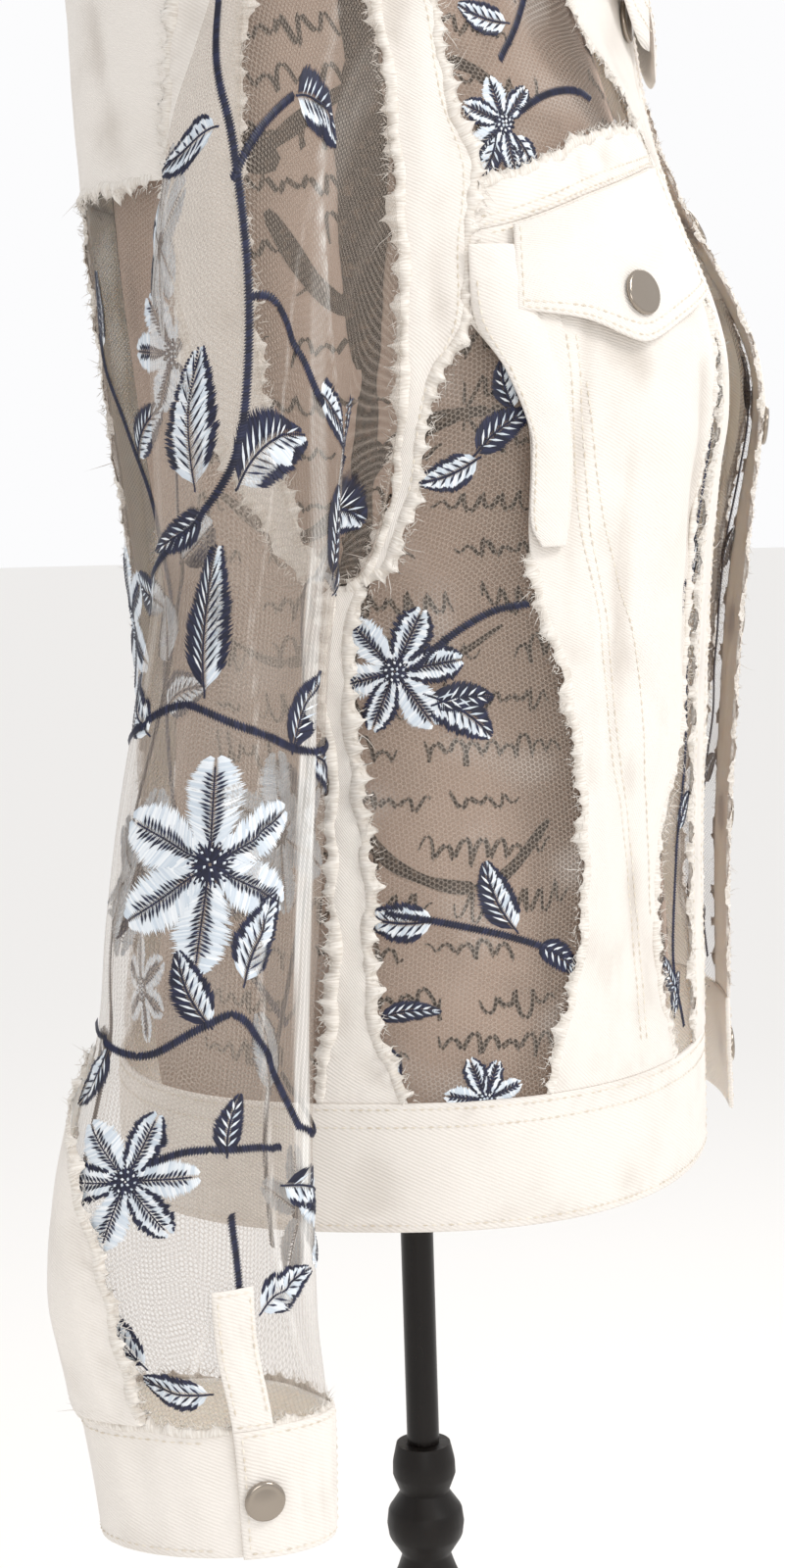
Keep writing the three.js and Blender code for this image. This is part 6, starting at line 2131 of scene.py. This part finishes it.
def turn_profile(name: str, rows: Iterable[tuple[float, float]], sides: int, finish: bpy.types.Material,
                 soft: float = 30.0) -> bpy.types.Object:
    """Turn a piece on the lathe: a circle extruded up and resized at each row.

    Args:
        name: The piece's name.
        rows: Height and radius of each row in millimetres, from the bottom.
        sides: Sides of the circle.
        finish: Its material.
        soft: Degrees below which an edge is shaded smooth.

    Returns:
        The turned piece.
    """
    rows = list(rows)
    bpy.ops.object.select_all(action="DESELECT")
    bpy.ops.mesh.primitive_circle_add(vertices=sides, radius=rows[0][1] * MM, fill_type="NGON",
                                      location=(0, 0, rows[0][0] * MM))
    piece = bpy.context.active_object
    piece.name = name
    bpy.ops.object.transform_apply(location=True, rotation=True, scale=True)
    bpy.ops.object.mode_set(mode="EDIT")
    bpy.ops.mesh.select_all(action="SELECT")
    for (below, narrow), (height, radius) in zip(rows, rows[1:]):
        bpy.ops.mesh.extrude_region_move(TRANSFORM_OT_translate={"value": (0, 0, (height - below) * MM)})
        share = radius / narrow
        bpy.ops.transform.resize(value=(share, share, 1), center_override=(0, 0, height * MM))
    bpy.ops.mesh.select_all(action="SELECT")
    bpy.ops.mesh.normals_make_consistent(inside=False)
    bpy.ops.object.mode_set(mode="OBJECT")
    piece.data.materials.append(finish)
    bpy.ops.object.shade_smooth_by_angle(angle=soft * DEGREE)
    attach(piece, "root")
    return piece


def rounded_rows(profile: Table, step: float) -> list[tuple[float, float]]:
    """Return close rows of a turned profile, smooth between the profile's own rows."""
    keys = profile.column("height")
    heights = np.unique(np.concatenate([keys, np.arange(keys[0], keys[-1], step)]))
    heights = heights[np.concatenate([[True], np.diff(heights) > 0.3])]
    return list(zip(heights.tolist(), profile.at("radius", heights).tolist()))


@dataclass
class Snaps:
    """Mirror-bright snap caps, each with a rolled rim."""

    finishes: Finishes
    radius: float = 8.6
    height: float = 2.6

    def cap(self, name: str, radius: float, height: float) -> bpy.types.Object:
        """Shape one cap at the origin, its axis along Z."""
        rows = [(0.0, radius - 1.0), (0.5, radius - 0.2), (height * 0.42, radius), (height * 0.62, radius - 0.15),
                (height * 0.78, radius - 0.7), (height * 0.84, radius - 1.3), (height * 0.8, radius - 1.9),
                (height * 0.86, radius * 0.6), (height * 0.96, radius * 0.3), (height, radius * 0.04)]
        return turn_profile(name, rows, 40, self.finishes.cap, 40)

    def place(self, node: str, surface: Surface, around: float, run: float, under: float,
              small: bool = False) -> None:
        """Seat a cap on the cloth in place of its CAD node.

        Args:
            node: The CAD node.
            surface: The surface below it.
            around: Angle of its place.
            run: Run of its place.
            under: Height of its foot above the surface.
            small: Whether it is the cuff's smaller cap.
        """
        radius, height = (7.4, 2.4) if small else (self.radius, self.height)
        piece = self.cap(f"{node}_cap", radius, height)
        at = (np.array([around]), np.array([run]))
        normal = surface.normals(*at)[0]
        point = (surface.points(*at)[0] + normal * under) * MM
        side = np.cross(np.array([0.0, 0.0, 1.0]), normal)
        side /= np.linalg.norm(side)
        other = np.cross(normal, side)
        turn = np.eye(4)
        turn[:3, 0], turn[:3, 1], turn[:3, 2], turn[:3, 3] = side, other, normal, point
        piece.data.transform(Matrix(turn.tolist()))
        piece.data.update()
        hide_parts(node)
        LOG.info("%s seated", piece.name)

    def build(self) -> None:
        """Seat every cap."""
        for side in Side:
            body, sleeve = BodySurface(side), SleeveSurface(side)
            self.place(f"{side.value}_pocket_snap", body, 49.0, 346.0, 6.5)
            self.place(f"{side.value}_cuff_snap", sleeve, 32.0, 478.0, 2.6, True)
        self.place("collar_snap", BodySurface(), 31.0, 476.0, 3.0)
        left = BodySurface(Side.LEFT)
        opening = edge_of(OPENING_EDGE)
        for index, level in enumerate((385.0, 300.0, 215.0, 130.0)):
            self.place(f"placket_snap_{index + 1}", left, float(opening(level)) + 8, level, 3.0)
        self.place("waistband_snap", left, 20.0, 25.0, 2.8)


@dataclass
class DressForm:
    """The limbless form inside the jacket, its printed cover and its neck cap."""

    finishes: Finishes
    sides: int = 104
    rows: int = 104
    lowest: float = 10.0
    tall: float = 630.0
    rim: float = 0.93

    def build(self) -> None:
        """Make the cover, its brush strokes and the cap on the neck."""
        surface = FormSurface()
        count = self.sides
        around, run = np.meshgrid(np.arange(count) * 360 / count,
                                  self.lowest + self.tall * np.linspace(0, 1, self.rows))
        grid = surface.points(around, run)
        stack = np.concatenate([grid[:1] * np.array([self.rim, self.rim, 1.0]), grid], axis=0)
        rows = stack.shape[0]
        ends = np.array([[0, 0, HEM_HEIGHT + self.lowest], [0, 0, HEM_HEIGHT + self.lowest + self.tall]])
        points = np.concatenate([stack.reshape(-1, 3), ends])
        faces = [tuple(face) for face in grid_faces(rows, count, 0, True, True).tolist()]
        last = (rows - 1) * count
        for side in range(count):
            following = (side + 1) % count
            faces.append((rows * count, side, following))
            faces.append((rows * count + 1, last + following, last + side))
        self.cover = build_object("torso_form_cover", points, faces, self.finishes.cover)
        bpy.ops.object.select_all(action="DESELECT")
        self.cover.select_set(True)
        bpy.context.view_layer.objects.active = self.cover
        bpy.ops.object.mode_set(mode="EDIT")
        bpy.ops.mesh.select_all(action="SELECT")
        bpy.ops.mesh.normals_make_consistent(inside=False)
        bpy.ops.object.mode_set(mode="OBJECT")
        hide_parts("torso_form")
        self.strokes(surface)
        cap = Table("height radius", ((1440.3, 46), (1443.3, 49), (1448.3, 49), (1453.3, 40), (1458.3, 14),
                                      (1466.3, 11), (1474.3, 15), (1482.3, 13), (1487.3, 5)))
        piece = turn_profile("neck_cap_turned", rounded_rows(cap, 1.5), 72, self.finishes.wood)
        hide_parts("neck_cap")

    def strokes(self, surface: FormSurface) -> None:
        """Brush dark generic strokes on the cover, without letters: thin ink films along smooth paths."""
        paths = (
            (((85, 452), (86, 420), (86, 384), (85.6, 350), (86, 313), (89.5, 241), (93.5, 168), (90, 94)), 9.0),
            # The second path widens the first near its top into a broad dark band down the form beside the armhole.
            (((84.4, 474), (85.4, 430), (86, 370), (86.6, 322)), 18.0), (((111, 416), (104, 406), (97, 396)), 15.0),
            (((99, 380), (93, 354), (88, 342)), 8.0), (((107, 438), (110, 452), (112, 466)), 6.5),
            (((60, 300), (70, 306), (82, 296), (92, 268), (100, 262), (112, 280)), 6.5),
            (((58, 150), (70, 128), (84, 136), (96, 166), (108, 160), (118, 140)), 6.0),
            (((62, 420), (74, 432), (88, 420), (104, 396), (118, 404)), 5.0),
            (((66, 226), (76, 214), (88, 222), (102, 214), (114, 224)), 4.0),
            (((12, 120), (20, 180), (18, 250), (26, 320), (22, 396)), 8.0),
            (((-30, 110), (-22, 190), (-28, 260), (-18, 340), (-26, 420)), 7.0),
            (((-6, 170), (5, 230), (-4, 290), (6, 350), (-2, 410)), 6.5),
            (((-86, 440), (-84, 360), (-90, 260), (-88, 160), (-94, 90)), 9.0),
            (((-60, 280), (-74, 300), (-90, 280), (-108, 292)), 5.5),
            (((150, 430), (158, 330), (152, 240), (160, 140)), 8.5),
            (((200, 420), (206, 320), (198, 200), (208, 100)), 8.0))
        films = [self.film(surface, path, width, index) for index, (path, width) in enumerate(paths)]
        films += self.scribbles(surface)
        first, faces = 0, []
        for points, quads in films:
            faces.extend(map(tuple, (quads + first).tolist()))
            first += len(points)
        ink = build_object("torso_form_strokes", np.concatenate([film[0] for film in films]), faces,
                           self.finishes.ink)

    def scribbles(self, surface: FormSurface) -> list[tuple[Array, Array]]:
        """Print rows of thin wavering lines, which stand for handwriting but form no letters."""
        rng = np.random.default_rng(512)
        films = []
        for start in (52.0, -112.0, -30.0, 150.0):
            for level in np.arange(64.0, 470.0, 19.0):
                begin = start + rng.uniform(0, 14)
                while begin < start + 62:
                    end = min(begin + rng.uniform(9, 26), start + 66)
                    t = np.arange(begin, end, 0.42)
                    tall = np.interp(t, np.arange(begin - 2, end + 6, 2.6),
                                     rng.uniform(0.3, 1.0, len(np.arange(begin - 2, end + 6, 2.6))) ** 2.2)
                    wave = np.sin(t * 2.1 + rng.uniform(0, 6)) * tall * 7.5 + (t - begin) * rng.uniform(-0.05, 0.3)
                    lean = np.cos(t * 2.1) * tall * 0.9
                    if len(t) > 5:
                        films.append(self.film(surface, tuple(zip(t + lean, level + wave)), 1.9, len(films), 1.4))
                    begin = end + rng.uniform(2.5, 6)
        return films

    def film(self, surface: FormSurface, path: tuple[tuple[float, float], ...], width: float,
             seed: int, step: float = 3.6) -> tuple[Array, Array]:
        """Make one stroke as a thin closed film, wide in its middle and ragged at its ends."""
        knots = dense(path, 24 if step > 2 else 4)
        around, run = np.array(knots).T
        line = edge_line(surface, around, run, np.full_like(around, 0.25), surface.points(around + 1, run), step)
        share = line.run / line.run[-1]
        swell = width * (0.3 + 0.7 * np.sin(math.pi * share) ** 0.5) * (
            1 + 0.25 * crumple(line.run, np.zeros_like(line.run), 400 + seed, 30.0))
        across = np.linspace(-0.5, 0.5, 5 if step > 2 else 2)[None, :, None]
        outer = line.point[:, None] + line.out[:, None] * across * swell[:, None, None]
        if across.shape[1] == 2:
            return outer.reshape(-1, 3), grid_faces(len(outer), 2, 0, False, True)
        return wall_mesh(outer - line.off[:, None] * 0.2, outer + line.off[:, None] * 0.1)


@dataclass
class Stand:
    """The turned post on its round base, and the pole up into the form."""

    finishes: Finishes
    post: Table = Table("height radius", (
        (30.3, 30), (36, 32), (44, 32), (50, 27), (56, 24), (72, 17), (110, 15), (170, 19), (250, 21), (330, 18),
        (372, 14), (378, 16), (384, 19), (390, 17), (396, 14), (440, 16.5), (590, 16), (603, 11), (613, 16.5),
        (624, 16.5), (633, 11), (641, 14), (648, 13.6), (655, 12)))
    base: tuple[tuple[float, float], ...] = (
        (0, 176), (1.2, 178.2), (4, 180), (12, 180), (14.5, 178.6), (18, 170), (20.5, 144), (24, 110), (27.5, 82),
        (30, 60))
    pole: tuple[tuple[float, float], ...] = ((655.3, 7.2), (803.7, 7.2), (803.8, 15.7), (809.7, 15.7))

    def build(self) -> None:
        """Turn the base, the post and the pole."""
        for name, node, rows, sides, finish, slot in (
                ("round_base_turned", "round_base", self.base, 128, self.finishes.wood, "black_wood"),
                ("post_turned", "turned_post", rounded_rows(self.post, 7.0), 60, self.finishes.wood, "black_wood"),
                ("pole_tube", "pole", self.pole, 48, self.finishes.pole, "pole_metal")):
            piece = turn_profile(name, rows, sides, finish)
            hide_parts(node)
            LOG.info("%s turned", name)


@dataclass
class Studio:
    """The pale floor, the soft lights and the camera."""

    finishes: Finishes
    eye: tuple[float, float, float] = (-1083.0, -136.0, 1086.0)
    yaw: float = -82.6
    pitch: float = 7.06
    roll: float = -1.78
    lens: float = 58.5

    def build(self) -> None:
        """Set the floor, the world, the lights and the camera."""
        bpy.ops.object.select_all(action="DESELECT")
        bpy.ops.mesh.primitive_plane_add(size=60, location=(0, 0, -0.0005))
        floor = bpy.context.active_object
        floor.name = "studio_floor"
        floor.data.materials.append(self.finishes.floor)
        world = bpy.data.worlds.new("studio_air")
        world.use_nodes = True
        world.node_tree.nodes.clear()
        way = add_node(world.node_tree, "ShaderNodeTexCoord")
        toward = add_node(world.node_tree, "ShaderNodeVectorMath", {"operation": "DOT_PRODUCT"}, {
            0: way.outputs["Generated"], 1: (-0.6, 0.78, -0.15)})
        dark_wall = add_node(world.node_tree, "ShaderNodeMapRange", inputs={
            "Value": toward.outputs["Value"], "From Min": 0.1, "From Max": 0.85, "To Min": 1.0, "To Max": 0.72})
        sky = add_node(world.node_tree, "ShaderNodeBackground", inputs={
            "Color": linear("#fcfcfd"), "Strength": dark_wall.outputs["Result"]})
        out = add_node(world.node_tree, "ShaderNodeOutputWorld")
        world.node_tree.links.new(sky.outputs["Background"], out.inputs["Surface"])
        bpy.context.scene.world = world
        bpy.context.scene.view_settings.view_transform = "Standard"
        self.light("key_softbox", (-1.0, -1.7, 2.6), 0.8, 22.0)
        self.light("fill_softbox", (-2.2, -0.5, 1.2), 0.7, 5.0)
        self.light("rim_softbox", (1.9, -0.6, 2.4), 1.4, 14.0)
        self.camera()

    def light(self, name: str, place: tuple[float, float, float], size: float, power: float) -> None:
        """Add a square soft light aimed at the jacket."""
        bpy.ops.object.light_add(type="AREA", location=place)
        lamp = bpy.context.active_object
        lamp.name = name
        lamp.data.size = size
        lamp.data.energy = power
        lamp.data.color = (1.0, 0.985, 0.96)
        away = np.array(place) - np.array([0.0, 0.0, 1.05])
        lamp.rotation_euler = Matrix(self.axes(away).tolist()).to_euler()

    def axes(self, back: Array) -> Array:
        """Return right, up and back as columns, from the way back to the camera or light."""
        back = back / np.linalg.norm(back)
        right = np.cross(np.array([0.0, 0.0, 1.0]), back)
        right /= np.linalg.norm(right)
        return np.stack([right, np.cross(back, right), back], axis=1)

    def camera(self) -> None:
        """Stand the camera where the photographer stood."""
        yaw, pitch, roll = self.yaw * DEGREE, self.pitch * DEGREE, self.roll * DEGREE
        back = np.array([math.sin(yaw) * math.cos(pitch), -math.cos(yaw) * math.cos(pitch), math.sin(pitch)])
        level = self.axes(back)
        right = level[:, 0] * math.cos(roll) + level[:, 1] * math.sin(roll)
        up = level[:, 1] * math.cos(roll) - level[:, 0] * math.sin(roll)
        place = np.eye(4)
        place[:3, 0], place[:3, 1], place[:3, 2], place[:3, 3] = right, up, back, np.array(self.eye) * MM
        data = bpy.data.cameras.new("photo_camera")
        data.sensor_fit = "VERTICAL"
        data.sensor_height = 36.0
        data.lens = self.lens
        data.clip_start = 0.05
        data.clip_end = 100.0
        camera = bpy.data.objects.new("photo_camera", data)
        camera.matrix_world = Matrix(place.tolist())
        bpy.context.scene.collection.objects.link(camera)
        bpy.context.scene.camera = camera


def main() -> None:
    """Build the jacket, its form and its stand, and set the studio round them."""
    logging.basicConfig(level=logging.INFO, format="%(message)s")
    finishes = Finishes()
    DressForm(finishes).build()
    Stand(finishes).build()
    for side in Side:
        half = Bodice(side, finishes)
        half.build()
        half.embroider()
        half.dress()
        sleeve = Sleeve(side, finishes)
        sleeve.build()
        sleeve.dress()
    back = BackAndBand(finishes)
    back.build()
    back.dress()
    collar = Collar(finishes)
    collar.build()
    collar.dress()
    Snaps(finishes).build()
    Studio(finishes).build()


if __name__ == "__main__":
    main()
